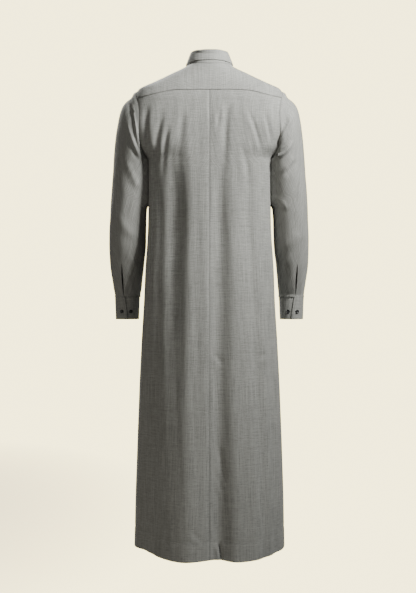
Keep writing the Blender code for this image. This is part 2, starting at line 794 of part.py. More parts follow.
def sleeve_point(side, phi, row):
    """A point of a sleeve's outer face; the row runs along the table of sleeve sections."""
    place = sleeve_ring(phi, row)
    if row < ARMHOLE_REACH:
        place += (sleeve_start(phi) - sleeve_ring(phi, 0)) * (1 - row / ARMHOLE_REACH) ** ARMHOLE_EASE
    clearance = blend(SEAM_GAP, SLEEVE_CLEARANCE, min(row / CLEAR_BY_ROW, 1.0))
    place.x = max(place.x, body_side_x(place.y, place.z) + clearance)
    place.x *= side
    return place


def sleeve_ring(phi, row):
    """A point of the plain ring between the left sleeve's outer and inner sides."""
    section = SLEEVE_FORM.at(row)
    along = (1 + math.cos(math.radians(phi))) / 2
    x = blend(section.inner_x, section.outer_x, along)
    z = blend(section.inner_z, section.outer_z, along)
    return Vector((x, section.centre_y + section.half_depth * math.sin(math.radians(phi)), z))


def sleeve_normal(side, phi, row):
    """The direction out of a sleeve's cloth."""
    low, high = max(row - 0.1, 0.0), min(max(row, 0.2) + 0.1, len(SLEEVE) - 1)
    around = sleeve_point(side, phi + 1.5, row) - sleeve_point(side, phi - 1.5, row)
    along = sleeve_point(side, phi, high) - sleeve_point(side, phi, low)
    return around.cross(along).normalized() * -side


def sleeve_phis():
    """The angles of a sleeve's columns, once round from the slit."""
    back, front, top = armhole_phis()
    ring = sorted((phi - SLIT_PHI) % 360 for phi in back + front[1:] + top[1:-1])
    return [SLIT_PHI + phi for phi in ring] + [SLIT_PHI + 360]


def sleeve_rows():
    """The rows of a sleeve, with one at the top of its slit."""
    rows = []
    for i in range(len(SLEEVE) - 1):
        for part in range(SLEEVE_ROWS_BETWEEN + 1):
            rows.append(i + part / (SLEEVE_ROWS_BETWEEN + 1))
    return rows + [len(SLEEVE) - 1]


def slit_gape(z):
    """Half the angle by which the sleeve's slit stands open at a height."""
    down = min(max((SLEEVE_SLIT_TOP_Z - z) / (SLEEVE_SLIT_TOP_Z - SLEEVE_END_Z), 0.0), 1.0)
    return SLEEVE_SLIT_GAPE * math.sin(math.pi * down) ** SLEEVE_SLIT_ROUNDNESS + SLEEVE_SLIT_ENDS


def build_sleeve(name, side):
    cloth = Cloth(name, CLOTH)
    phis = sleeve_phis()
    keys = []
    for i, row in enumerate(sleeve_rows()):
        keys.append([])
        z = sleeve_point(side, SLIT_PHI, row).z
        parted = z < SLEEVE_SLIT_TOP_Z - SLEEVE_SLIT_MARGIN
        for j, phi in enumerate(phis):
            ends = {0: 1, len(phis) - 1: -1}
            if parted and j in ends:
                phi += ends[j] * slit_gape(z)
            closing = j == len(phis) - 1 and not parted
            key = (i, 0) if closing else (i, j)
            if not closing:
                cloth.point(key, sleeve_point(side, phi, row), sleeve_normal(side, phi, row))
            keys[-1].append(key)
    cloth.grid(keys)
    return cloth.build()


def build_sleeve_placket(name, side):
    """A strip along the outer edge of the sleeve's slit, made from the sleeve's points."""
    cloth = Cloth(name, CLOTH)
    top = SLEEVE_SLIT_TOP_Z + SLEEVE_SLIT_MARGIN
    rows = [row for row in sleeve_rows() if sleeve_point(side, SLIT_PHI, row).z < top]
    first = rows[0] - SLEEVE_PLACKET_HEAD
    keys = []
    for i, row in enumerate([first] + rows):
        keys.append([])
        z = sleeve_point(side, SLIT_PHI, row).z
        edge = SLIT_PHI - slit_gape(z)
        for j, away in enumerate(SLEEVE_PLACKET_PHIS):
            phi = edge - away
            key = cloth.point((i, j), sleeve_point(side, phi, row), sleeve_normal(side, phi, row))
            keys[-1].append(key)
    cloth.grid(keys)
    cloth.lift(SEAM_GAP * 2 + CLOTH)
    for key in keys[-1]:
        cloth.outer[key].z += SEAM_GAP * 2
    return cloth.build()


def cuff_point(side, phi, up):
    """A point of a cuff's outer face; phi runs past a full turn where the ends lap."""
    lap = LAP_STEP * smooth_step((phi - CUFF_LAP_START) / CUFF_LAP_RUN)
    lean = [blend(CUFF_BOTTOM_HALF[k], CUFF_TOP_HALF[k], up) + lap for k in (0, 1)]
    x = CUFF_CENTRE_X + lean[0] * math.cos(math.radians(phi))
    y = CUFF_CENTRE_Y + lean[1] * math.sin(math.radians(phi))
    return Vector((side * x, y, blend(CUFF_BOTTOM_Z, CUFF_TOP_Z, up)))


def cuff_normal(side, phi):
    x = math.cos(math.radians(phi)) / CUFF_TOP_HALF[0]
    y = math.sin(math.radians(phi)) / CUFF_TOP_HALF[1]
    return Vector((side * x, y, 0.0)).normalized()


def build_cuff(name, side):
    """A band that starts under its own lap and ends over it, with the lap's edge aslant."""
    cloth = Cloth(name, DOUBLE_CLOTH)
    keys = []
    for i in range(CUFF_ROWS + 1):
        up = i / CUFF_ROWS
        start = SLIT_PHI - CUFF_LAP
        end = 360 + blend(CUFF_LAP_EDGE[0], CUFF_LAP_EDGE[1], up)
        keys.append([])
        for j in range(CUFF_COLUMNS + 1):
            phi = blend(start, end, j / CUFF_COLUMNS)
            place = cuff_point(side, phi, up)
            keys[-1].append(cloth.point((i, j), place, cuff_normal(side, phi)))
    cloth.grid(keys)
    return cloth.build()


# ---------------------------------------------------------------------------------------- buttons


def build_button(name, place, normal):
    """A turned button with a raised rim, its back on the cloth."""
    points = []
    faces = []
    for ring in BUTTON:
        for k in range(BUTTON_SIDES):
            angle = 2 * math.pi * k / BUTTON_SIDES
            reach = BUTTON_RADIUS * ring.reach
            points.append(
                Vector((reach * math.cos(angle), reach * math.sin(angle), BUTTON_HEIGHT * ring.height))
            )
    for i in range(len(BUTTON) - 1):
        for k in range(BUTTON_SIDES):
            after = (k + 1) % BUTTON_SIDES
            low, high = i * BUTTON_SIDES, (i + 1) * BUTTON_SIDES
            faces.append((low + k, low + after, high + after, high + k))
    faces.append(tuple(reversed(range(BUTTON_SIDES))))
    faces.append(tuple(range((len(BUTTON) - 1) * BUTTON_SIDES, len(BUTTON) * BUTTON_SIDES)))
    turn = Vector((0.0, 0.0, 1.0)).rotation_difference(normal).to_matrix().to_4x4()
    seat = Matrix.Translation(place + normal * SEAM_GAP * 2) @ turn
    points = [seat @ point for point in points]
    return make_object(name, points, faces, BUTTON_COLOUR)


def build_buttons():
    up = (CUFF_BUTTON_Z - CUFF_BOTTOM_Z) / (CUFF_TOP_Z - CUFF_BOTTOM_Z)
    for side, name in ((1, "left"), (-1, "right")):
        for where, phi in CUFF_BUTTON_PHIS.items():
            lapped = phi + 360 if where == "outer" else phi
            place = cuff_point(side, lapped, up)
            build_button(f"cuff_button_{name}_{where}", place, cuff_normal(side, phi))
    for number in range(FRONT_BUTTONS):
        z = FRONT_BUTTON_TOP_Z - FRONT_BUTTON_STEP * number
        normal = body_normal(180.0, z)
        place = body_point(180.0, z) + normal * (SEAM_GAP * 3 + DOUBLE_CLOTH)
        build_button(f"front_button_{number + 1}", place, normal)
    rise = stand_point(180.0, 1.0) - stand_point(180.0, 0.0)
    normal = Vector((1.0, 0.0, 0.0)).cross(rise).normalized()
    build_button("collar_button", stand_point(180.0, 0.5) + normal * SEAM_GAP, normal)


def main():
    for thing in list(bpy.data.objects):
        bpy.data.objects.remove(thing)
    build_back("back_left", 1)
    build_back("back_right", -1)
    build_yoke()
    build_front()
    build_front_placket()
    build_collar_stand()
    build_collar_leaf()
    for side, name in ((1, "left"), (-1, "right")):
        build_sleeve(f"sleeve_{name}", side)
        build_sleeve_placket(f"sleeve_placket_{name}", side)
        build_cuff(f"cuff_{name}", side)
    build_buttons()


main()
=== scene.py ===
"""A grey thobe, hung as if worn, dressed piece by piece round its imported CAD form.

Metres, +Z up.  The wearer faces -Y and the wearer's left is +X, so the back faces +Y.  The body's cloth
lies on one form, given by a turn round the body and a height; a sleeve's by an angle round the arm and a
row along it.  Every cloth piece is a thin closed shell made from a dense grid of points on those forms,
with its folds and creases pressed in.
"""

import json
import logging
import math
from dataclasses import dataclass, field
from enum import Enum
from typing import Any, Sequence

import bpy
import numpy as np
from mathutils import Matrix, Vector

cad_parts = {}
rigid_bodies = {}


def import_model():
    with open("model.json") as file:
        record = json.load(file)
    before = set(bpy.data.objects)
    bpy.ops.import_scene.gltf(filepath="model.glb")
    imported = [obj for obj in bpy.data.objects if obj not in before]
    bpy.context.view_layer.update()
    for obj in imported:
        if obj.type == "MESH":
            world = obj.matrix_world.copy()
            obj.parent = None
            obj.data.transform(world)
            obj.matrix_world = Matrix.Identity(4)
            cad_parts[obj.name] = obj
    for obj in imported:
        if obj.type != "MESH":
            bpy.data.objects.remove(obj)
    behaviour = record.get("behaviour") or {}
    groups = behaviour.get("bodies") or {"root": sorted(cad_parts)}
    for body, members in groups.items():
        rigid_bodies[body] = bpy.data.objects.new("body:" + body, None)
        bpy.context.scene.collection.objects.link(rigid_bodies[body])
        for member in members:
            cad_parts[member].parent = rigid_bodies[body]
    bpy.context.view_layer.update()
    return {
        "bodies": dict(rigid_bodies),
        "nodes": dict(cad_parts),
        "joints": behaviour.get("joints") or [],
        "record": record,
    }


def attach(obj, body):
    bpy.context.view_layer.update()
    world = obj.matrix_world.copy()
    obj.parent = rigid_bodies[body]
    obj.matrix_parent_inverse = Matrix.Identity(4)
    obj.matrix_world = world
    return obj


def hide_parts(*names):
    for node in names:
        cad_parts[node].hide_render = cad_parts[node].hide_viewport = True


Array = np.ndarray
Pair = tuple[float, float]
Colour = tuple[float, float, float, float]
LOG = logging.getLogger("thobe")
BODY = "root"

# ------------------------------------------------------------------------------------- shared sizes

SHELL = 0.0011
DOUBLE_SHELL = 0.0020
CLOTH = 0.0016
DOUBLE_CLOTH = 0.0022
SEAM_GAP = 0.0003
LAP_STEP = DOUBLE_CLOTH + SEAM_GAP
SLIT_PHI = 75.0
STITCH_GROOVE_WIDTH = 0.0010
# how wide the band of painted shade beside a seam is
PAINTED_SEAM_SHADE_WIDTH = 0.0013
HEM_SIDE_Z = -1.397
MIX_FIRST, MIX_SECOND, MIX_RESULT = 6, 7, 2

BODY_SECTIONS = (
    # z, half width, back depth, front depth, squareness
    (-1.440, 0.2215, 0.1620, 0.1670, 2.30),
    (-1.210, 0.2160, 0.1530, 0.1590, 2.30),
    (-1.000, 0.2085, 0.1430, 0.1500, 2.35),
    (-0.820, 0.2005, 0.1330, 0.1430, 2.40),
    (-0.690, 0.1925, 0.1265, 0.1370, 2.45),
    (-0.590, 0.1885, 0.1210, 0.1340, 2.50),
    (-0.470, 0.1815, 0.1150, 0.1310, 2.50),
    (-0.380, 0.1795, 0.1160, 0.1320, 2.60),
    (-0.2745, 0.1815, 0.1175, 0.1310, 2.90),
    (-0.232, 0.2170, 0.1175, 0.1280, 3.00),
    (-0.172, 0.2430, 0.1155, 0.1210, 3.00),
    (-0.100, 0.2240, 0.1060, 0.1030, 3.10),
    (-0.066, 0.2095, 0.0965, 0.0885, 3.00),
    (-0.045, 0.1700, 0.0895, 0.0780, 2.70),
    (-0.020, 0.1185, 0.0785, 0.0660, 2.40),
    (0.004, 0.0715, 0.0680, 0.0570, 2.20),
    (0.024, 0.0480, 0.0560, 0.0460, 2.20),
)

SLEEVE_SECTIONS = (
    # outer x, outer z, inner x, inner z, half depth, centre y
    (0.2100, -0.066, 0.1820, -0.275, 0.0830, 0.003),
    (0.2360, -0.0835, 0.1830, -0.290, 0.0840, 0.002),
    (0.2560, -0.110, 0.1825, -0.308, 0.0820, 0.000),
    (0.2735, -0.190, 0.1800, -0.345, 0.0740, -0.003),
    (0.2830, -0.300, 0.1835, -0.388, 0.0660, -0.006),
    (0.2922, -0.420, 0.1885, -0.445, 0.0600, -0.014),
    (0.2950, -0.510, 0.1905, -0.515, 0.0560, -0.024),
    (0.2935, -0.570, 0.1975, -0.571, 0.0510, -0.036),
    (0.2862, -0.630, 0.2050, -0.630, 0.0440, -0.050),
    (0.2820, -0.668, 0.2085, -0.668, 0.0385, -0.060),
)


def smooth_step(t: Any) -> Any:
    """An even ease from 0 to 1, flat outside."""
    t = np.clip(t, 0.0, 1.0)
    return t * t * (3 - 2 * t)


def mix(a: Any, b: Any, t: Any) -> Any:
    """The value a fraction t of the way from a to b."""
    return a + (b - a) * t


def ease_over(value: Any, start: Any, end: Any) -> Any:
    """An even ease from 0 at one value to 1 at another."""
    return smooth_step((value - start) / (end - start))


def sind(angle: Any) -> Any:
    """The sine of an angle in degrees."""
    return np.sin(np.radians(angle))


def cosd(angle: Any) -> Any:
    """The cosine of an angle in degrees."""
    return np.cos(np.radians(angle))


def bump_at(d: Any, width: float) -> Any:
    """A soft bell of height 1 at distance 0."""
    return np.exp(-((d / width) ** 2))


def wobble(a: Any, b: Any, seed: float) -> Any:
    """A gentle irregular wave over two coordinates, about -1 to 1.

    Args:
        a: the first coordinate.
        b: the second.
        seed: which wave.

    Returns:
        The wave at each point.
    """
    return (
        np.sin(a * 1.0 + seed * 1.7 + 0.8 * np.sin(b * 0.7 + seed))
        + 0.6 * np.sin(a * 1.9 - b * 1.3 + seed * 3.1)
        + 0.4 * np.sin(b * 2.3 + a * 0.6 - seed * 0.9)
    ) / 2.0


def interp_rows(where: Array, run: Array, values: Array) -> Array:
    """The rows of a table read at places between its own."""
    return np.stack([np.interp(where, run, column) for column in values.T], axis=1)


def ring_faces(rings: int, sides: int) -> list[tuple[int, int, int, int]]:
    """The four-sided faces between rings of points that follow one another.

    Args:
        rings: how many rings.
        sides: how many points each has.

    Returns:
        The faces' point numbers.
    """
    faces = []
    for low in range(0, (rings - 1) * sides, sides):
        high = low + sides
        faces += [(low + k, high + k, high + (k + 1) % sides, low + (k + 1) % sides) for k in range(sides)]
    return faces


def link(name: str, data: bpy.types.ID) -> bpy.types.Object:
    """Puts an object into the scene.

    Args:
        name: its name.
        data: its mesh, lamp or camera.

    Returns:
        The object.
    """
    thing = bpy.data.objects.new(name, data)
    bpy.context.scene.collection.objects.link(thing)
    return thing


class Profile:
    """A smooth curve through a table's rows that never swings past them."""

    def __init__(self, knots: Sequence[float], rows: Sequence[Sequence[float]]) -> None:
        """Sorts the rows by knot and works out monotone slopes.

        Args:
            knots: where each row stands.
            rows: the rows of values.
        """
        order = np.argsort(knots)
        self.knots = np.asarray(knots, float)[order]
        self.values = np.asarray(rows, float)[order]
        step = np.diff(self.knots)[:, None]
        chord = np.diff(self.values, axis=0) / step
        before, after = chord[:-1], chord[1:]
        total = np.where(np.abs(before + after) < 1e-12, 1.0, before + after)
        inner = np.where(before * after <= 0, 0.0, 2 * before * after / total)
        self.slopes = np.vstack([chord[:1], inner, chord[-1:]])

    def at(self, knot: Any) -> Array:
        """The row of values at a place.

        Args:
            knot: one place or an array of them.

        Returns:
            The values, with the columns on the first axis.
        """
        knot = np.clip(np.asarray(knot, float), self.knots[0], self.knots[-1])
        i = np.clip(np.searchsorted(self.knots, knot) - 1, 0, len(self.knots) - 2)
        step = (self.knots[i + 1] - self.knots[i])[..., None]
        t = ((knot - self.knots[i])[..., None]) / step
        value = (
            (1 + 2 * t) * (1 - t) ** 2 * self.values[i]
            + t * (1 - t) ** 2 * step * self.slopes[i]
            + t * t * (3 - 2 * t) * self.values[i + 1]
            + t * t * (t - 1) * step * self.slopes[i + 1]
        )
        return np.moveaxis(value, -1, 0)


# --------------------------------------------------------------------------------- folds and creases


@dataclass(frozen=True)
class Fold:
    """A trough that hangs along the body; a negative depth is a ridge."""

    name: str
    top_turn: float
    hem_turn: float
    half_width: float
    depth: float
    start_z: float
    full_z: float

    def press(self, turn: Array, z: Array) -> Array:
        """How deep the fold is.

        Args:
            turn: degrees round the body.
            z: heights.

        Returns:
            The depth at each point.
        """
        along = np.clip((self.start_z - z) / (self.start_z - HEM_SIDE_Z), 0.0, 1.0)
        away = (turn - mix(self.top_turn, self.hem_turn, along) + 180) % 360 - 180
        grown = ease_over(z, self.start_z, self.full_z)
        return self.depth * grown * bump_at(away, self.half_width)


FOLDS = (
    Fold("left back trough", 30, 36, 9.5, 0.0170, -0.16, -0.46),
    Fold("left back shelf", 52, 56, 15.0, 0.0200, -0.34, -1.10),
    Fold("left back trough easing", 35, 36, 8.0, -0.0080, -0.55, -1.05),
    Fold("left back ridge", 17, 18, 8.0, -0.0050, -0.14, -0.45),
    Fold("left blade trough", 48, 50, 7.0, 0.0050, -0.27, -0.42),
    Fold("left side trough", 66, 66, 6.0, 0.0060, -0.27, -0.50),
    Fold("right back trough", -9, -7, 7.0, 0.0110, -0.10, -0.50),
    Fold("right back ridge", -21, -18, 7.0, -0.0040, -0.20, -0.60),
    Fold("right blade trough", -34, -44, 5.0, 0.0050, -0.17, -0.45),
    Fold("right side trough", -60, -58, 7.0, 0.0070, -0.27, -0.70),
    Fold("centre back hollow", -6, -7, 12, 0.0180, -0.85, -1.40),
    Fold("left front trough", 152, 150, 9, 0.0150, -0.26, -0.60),
    Fold("right front trough", -150, -147, 9, 0.0130, -0.26, -0.60),
    Fold("left front side trough", 122, 124, 8, 0.0100, -0.27, -0.60),
    Fold("right front side trough", -121, -119, 8, 0.0090, -0.27, -0.60),
    Fold("centre front hollow", 179, 178, 16, 0.0140, -0.90, -1.40),
)


@dataclass(frozen=True)
class Crease:
    """A creased line in the cloth, drawn on the plan of one face as x and z pairs."""

    path: tuple[Pair, ...]
    width: float
    depth: float
    ridge: float = 0.45
    ridge_side: float = 1.0
    head: float = 0.25
    tail: float = 0.35
    ridge_place: float = 1.9
    ridge_width: float = 1.25
    reach: float = 4.5

    def samples(self, count: int = 28) -> Array:
        """Points along the line, smoothed through the path's own three points.

        Args:
            count: how many.

        Returns:
            Count by 2 values.
        """
        knots = np.linspace(0, 1, len(self.path))
        t = np.linspace(0, 1, count)
        power = np.polyfit(knots, np.asarray(self.path, float), len(self.path) - 1)
        return np.stack([np.polyval(power[:, k], t) for k in (0, 1)], axis=1)

    def press(self, x: Array, z: Array) -> Array:
        """How far the crease moves the cloth, out of the cloth's face if positive.

        Args:
            x: places across.
            z: heights.

        Returns:
            The move at each point, in metres.
        """
        line = self.samples()
        points = np.stack([x.ravel(), z.ravel()], axis=1)
        reach = self.width * self.reach
        low, high = line.min(axis=0) - reach, line.max(axis=0) + reach
        near = np.all((points > low) & (points < high), axis=1)
        moved = np.zeros(len(points))
        if not near.any():
            return moved.reshape(x.shape)
        chosen = points[near]
        best = np.full(len(chosen), 1e9)
        along = np.zeros(len(chosen))
        side = np.zeros(len(chosen))
        for k in range(len(line) - 1):
            way = line[k + 1] - line[k]
            length = float(np.dot(way, way))
            t = np.clip((chosen - line[k]) @ way / length, 0.0, 1.0)
            gap = chosen - (line[k] + t[:, None] * way)
            distance = np.hypot(gap[:, 0], gap[:, 1])
            closer = distance < best
            best[closer] = distance[closer]
            along[closer] = (k + t[closer]) / (len(line) - 1)
            cross = way[0] * gap[:, 1] - way[1] * gap[:, 0]
            side[closer] = np.sign(cross[closer])
        signed = best * side * self.ridge_side
        ends = smooth_step(along / self.head) * smooth_step((1 - along) / self.tail)
        past = bump_at(best * ((along <= 0) | (along >= 1)), self.width)
        lift = -bump_at(signed, self.width)
        lift += self.ridge * bump_at(signed - self.ridge_place * self.width, self.width * self.ridge_width)
        moved[near] = self.depth * ends * past * lift
        return moved.reshape(x.shape)


def press_all(creases: Sequence[Crease], x: Array, z: Array) -> Array:
    """The moves of several creases added up.

    Args:
        creases: the creases.
        x: places across.
        z: heights.

    Returns:
        The move at each point.
    """
    total = np.zeros(x.shape)
    for crease in creases:
        total += crease.press(x, z)
    return total


@dataclass(frozen=True)
class Wave:
    """A slow unevenness of cloth that hangs, as a depth and how fast it changes each way."""

    depth: float
    around: float
    along: float
    seed: float = 0.0

    def at(self, around: Array, along: Array, shift: float = 0.0) -> Array:
        """The move at places round the piece and along it, its seed shifted."""
        return self.depth * wobble(around * self.around, along * self.along, self.seed + shift)


# ---------------------------------------------------------------------------------- the worn form


class WornForm:
    """The form the body's cloth lies on, and the lines it is cut along."""

    hem_back_drop = 0.027
    hem_front_drop = 0.022
    hem_centre_lift = 0.008
    armhole_z = -0.1705
    armhole_half_height = 0.1045
    armhole_back = 0.086
    armhole_front = 0.080
    back_corner = 43.0
    front_corner = -26.0
    yoke_mid_z = -0.077
    yoke_flat_x = 0.090
    neck_half_width = 0.0695
    neck_back = 0.068
    neck_front = 0.080
    neck_yoke_corner = 116.0
    shoulder_low = -0.32
    shoulder_high = 0.024
    halvings = 34
    centre_lift_turn = 16.0

    def __init__(self) -> None:
        """Makes the smooth table of sections."""
        self.table = Profile([row[0] for row in BODY_SECTIONS], [row[1:] for row in BODY_SECTIONS])

    def section(self, y: Array, z: Array) -> tuple[Array, Array, Array]:
        """The form's half width, its depth on y's side and its squareness at heights."""
        half, back, front, power = self.table.at(z)
        return half, np.where(y > 0, back, front), power

    def point(self, turn: Array, z: Array) -> Array:
        """Points on the form with its folds.

        Args:
            turn: degrees round the body from the centre back, positive to the wearer's left.
            z: heights.

        Returns:
            The points, with x, y and z on the last axis.
        """
        turn, z = np.broadcast_arrays(np.asarray(turn, float), np.asarray(z, float))
        s, c = sind(turn), cosd(turn)
        half, depth, power = self.section(c, z)
        reach = (np.abs(s) ** power + np.abs(c) ** power) ** (-1 / power)
        x, y = half * reach * s, depth * reach * c
        out_x = np.sign(s) * np.abs(x / half) ** (power - 1) / half
        out_y = np.sign(c) * np.abs(y / depth) ** (power - 1) / depth
        trough = sum(fold.press(turn, z) for fold in FOLDS) / np.hypot(out_x, out_y)
        return np.stack([x - out_x * trough, y - out_y * trough, z], axis=-1)

    def side_x(self, y: Array, z: Array) -> Array:
        """How far out the plain form reaches at a depth and a height.

        Args:
            y: depths.
            z: heights.

        Returns:
            The distance from the centre plane.
        """
        half, depth, power = self.section(y, z)
        inside = np.maximum(1 - (np.abs(y) / depth) ** power, 0.0)
        return half * inside ** (1 / power)

    def turn_of(self, x: Array, y: Array, z: Array) -> Array:
        """The turn at which the form at a height lies towards a point.

        Args:
            x: places across.
            y: depths.
            z: heights.

        Returns:
            The turn in degrees.
        """
        half, depth, _ = self.section(y, z)
        return np.degrees(np.arctan2(x / half, y / depth))

    def height_over(self, x: Array, y: Array) -> Array:
        """The height of the shoulders above points of the plan.

        Args:
            x: places across.
            y: depths.

        Returns:
            The heights, found by halving.
        """
        x, y = np.broadcast_arrays(np.asarray(x, float), np.asarray(y, float))
        low, high = np.full(x.shape, self.shoulder_low), np.full(x.shape, self.shoulder_high)
        for _ in range(self.halvings):
            z = (low + high) / 2
            half, depth, power = self.section(y, z)
            outside = (np.abs(x) / half) ** power + (np.abs(y) / depth) ** power > 1
            low, high = np.where(outside, low, z), np.where(outside, z, high)
        return (low + high) / 2

    def neck_plan(self, angle: Array) -> tuple[Array, Array]:
        """The neckline in plan, by the angle from the centre back."""
        s, c = sind(angle), cosd(angle)
        return self.neck_half_width * s, np.where(c > 0, self.neck_back, self.neck_front) * c

    def neckline(self, angle: Array) -> tuple[Array, Array]:
        """The turn and height of the neckline at angles.

        Args:
            angle: degrees from the centre back.

        Returns:
            The turns and the heights.
        """
        x, y = self.neck_plan(angle)
        z = self.height_over(x, y)
        return self.turn_of(x, y, z), z

    def armhole(self, phi: Array) -> tuple[Array, Array]:
        """The turn and height of the left armhole at angles round it.

        Args:
            phi: degrees from its top, 90 at the back.

        Returns:
            The turns and the heights.
        """
        s = sind(phi)
        y = np.where(s > 0, self.armhole_back, self.armhole_front) * s
        z = self.armhole_z + self.armhole_half_height * cosd(phi)
        return self.turn_of(self.side_x(y, z), y, z), z

    def yoke_corner_x(self) -> float:
        """How far out the back yoke seam meets the armhole."""
        turn, z = self.armhole(np.array(self.back_corner))
        return float(self.point(turn, z)[0])

    def yoke_seam(self, x: Array) -> tuple[Array, Array]:
        """The turn and height of the back yoke seam at distances from the centre back.

        Args:
            x: distances from the centre back.

        Returns:
            The turns and the heights.
        """
        corner_z = float(self.armhole(np.array(self.back_corner))[1])
        fall = ease_over(x, self.yoke_flat_x, self.yoke_corner_x())
        z = mix(self.yoke_mid_z, corner_z, fall)
        half, back, _, power = self.table.at(z)
        inside = np.maximum(1 - (x / half) ** power, 0.0)
        return self.turn_of(x, back * inside ** (1 / power), z), z

    def front_seam(self, along: Array) -> tuple[Array, Array]:
        """The front shoulder seam, from the neckline (0) to the armhole (1).

        Args:
            along: how far along the seam.

        Returns:
            The turns and the heights.
        """
        start = self.neckline(np.array(self.neck_yoke_corner))
        end = self.armhole(np.array(self.front_corner))
        return mix(start[0], end[0], along), mix(start[1], end[1], along)

    def hem_z(self, turn: Array) -> Array:
        """The height of the hem, lower at the back and front than at the side seams.

        Args:
            turn: degrees round the body.

        Returns:
            The heights.
        """
        c = cosd(turn)
        drop = np.where(c > 0, self.hem_back_drop, self.hem_front_drop) * np.abs(c) ** 1.5
        centre = np.minimum(np.abs(turn), 180 - np.abs(turn))
        return HEM_SIDE_Z - drop + self.hem_centre_lift * bump_at(centre, self.centre_lift_turn)


FORM = WornForm()


def coons(left: Array, right: Array, bottom: Array, top: Array) -> Array:
    """Fills a four-sided patch from its borders.

    Args:
        left: rows by 2 values up the left border.
        right: rows by 2 values up the right border.
        bottom: columns by 2 values along the bottom.
        top: columns by 2 values along the top.

    Returns:
        Rows by columns by 2 values.
    """
    v = np.linspace(0, 1, len(left))[:, None, None]
    u = np.linspace(0, 1, len(bottom))[None, :, None]
    return (
        (1 - u) * left[:, None] + u * right[:, None] + (1 - v) * bottom[None] + v * top[None]
        - (1 - u) * (1 - v) * bottom[0] - u * (1 - v) * bottom[-1]
        - (1 - u) * v * top[0] - u * v * top[-1]
    )


# ------------------------------------------------------------------------------- shells out of grids


class Edge(Enum):
    """The four borders of a grid."""

    LEFT = "left"
    RIGHT = "right"
    TOP = "top"
    BOTTOM = "bottom"


SIDES = (Edge.LEFT, Edge.RIGHT)


@dataclass
class Grid:
    """A dense grid of cloth points; rows run up the piece and columns across it."""

    points: Array
    merged_rows: Array | None = None
    # painted shade this grid hands the finish, besides the band beside its seams
    shade: Array | float = 0.0

    def steps(self) -> tuple[Array, Array]:
        """Distances along each row and up each column.

        Returns:
            Two arrays, one value per point.
        """
        across = np.linalg.norm(np.diff(self.points, axis=1), axis=2)
        upward = np.linalg.norm(np.diff(self.points, axis=0), axis=2)
        along = np.concatenate([np.zeros((len(self.points), 1)), np.cumsum(across, axis=1)], axis=1)
        up = np.concatenate([np.zeros((1, self.points.shape[1])), np.cumsum(upward, axis=0)], axis=0)
        return along, up

    def distance(self, edge: Edge) -> Array:
        """How far each point is from a border, along the cloth.

        Args:
            edge: the border.

        Returns:
            The distances.
        """
        along, up = self.steps()
        if edge is Edge.LEFT:
            return along
        if edge is Edge.RIGHT:
            return along[:, -1:] - along
        if edge is Edge.BOTTOM:
            return up
        return up[-1:] - up

    def normals(self) -> Array:
        """Unit normals of the grid; their side follows the grid's own winding.

        Returns:
            Rows by columns by 3 values.
        """
        across = np.gradient(self.points, axis=1)
        upward = np.gradient(self.points, axis=0)
        if self.merged_rows is not None:
            rows = self.merged_rows
            joined = self.points[rows, 1] - self.points[rows, -2]
            across[rows, 0] = joined
            across[rows, -1] = joined
        normal = np.cross(across, upward)
        return normal / np.maximum(np.linalg.norm(normal, axis=2, keepdims=True), 1e-12)

    def press(self, move: Array) -> None:
        """Moves every point along its normal."""
        self.points = self.points + self.normals() * move[..., None]

    def roll(
        self, edges: Sequence[Edge], depth: float, width: float, side: int = 1,
        groove: Pair | None = None,
    ) -> None:
        """Rolls borders in, as cloth does at a seam, and presses the groove of their stitching.

        Args:
            edges: the borders, one after another.
            depth: how far they roll in.
            width: how wide the roll is.
            side: 1 if the grid's normals point out of the cloth, -1 if they point in.
            groove: the groove's depth and how far it lies from the border.
        """
        for edge in edges:
            self.press(-side * depth * bump_at(self.distance(edge), width))
            if groove is not None:
                away = self.distance(edge) - groove[1]
                self.press(-side * groove[0] * bump_at(away, STITCH_GROOVE_WIDTH))


def build_mesh(
    name: str, points: Array, faces: Array, weave: Array, sharp: float = 45.0
) -> bpy.types.Object:
    """Makes a mesh object with the cloth's own coordinates stored on its points.

    Args:
        name: the piece's name.
        points: points by 3.
        faces: faces by 3 or 4 point numbers.
        weave: points by 3: metres across, metres along and how much painted shade darkens it beside seams
            and the hem.
        sharp: the angle in degrees past which an edge stays sharp.

    Returns:
        The linked object.
    """
    mesh = bpy.data.meshes.new(name)
    mesh.from_pydata(points.tolist(), [], faces.tolist())
    mesh.update()
    layer = mesh.attributes.new("weave", "FLOAT_VECTOR", "POINT")
    layer.data.foreach_set("vector", weave.astype(np.float32).ravel())
    mesh.shade_smooth()
    mesh.set_sharp_from_angle(angle=math.radians(sharp))
    return link(name, mesh)


def both_sides(cut: Array) -> Grid:
    """A grid across both sides of the body, from the turns and heights of its left half."""
    left, right = (FORM.point(side * cut[..., 0], cut[..., 1]) for side in (1, -1))
    return Grid(np.concatenate([right[:, ::-1], left[:, 1:]], axis=1))


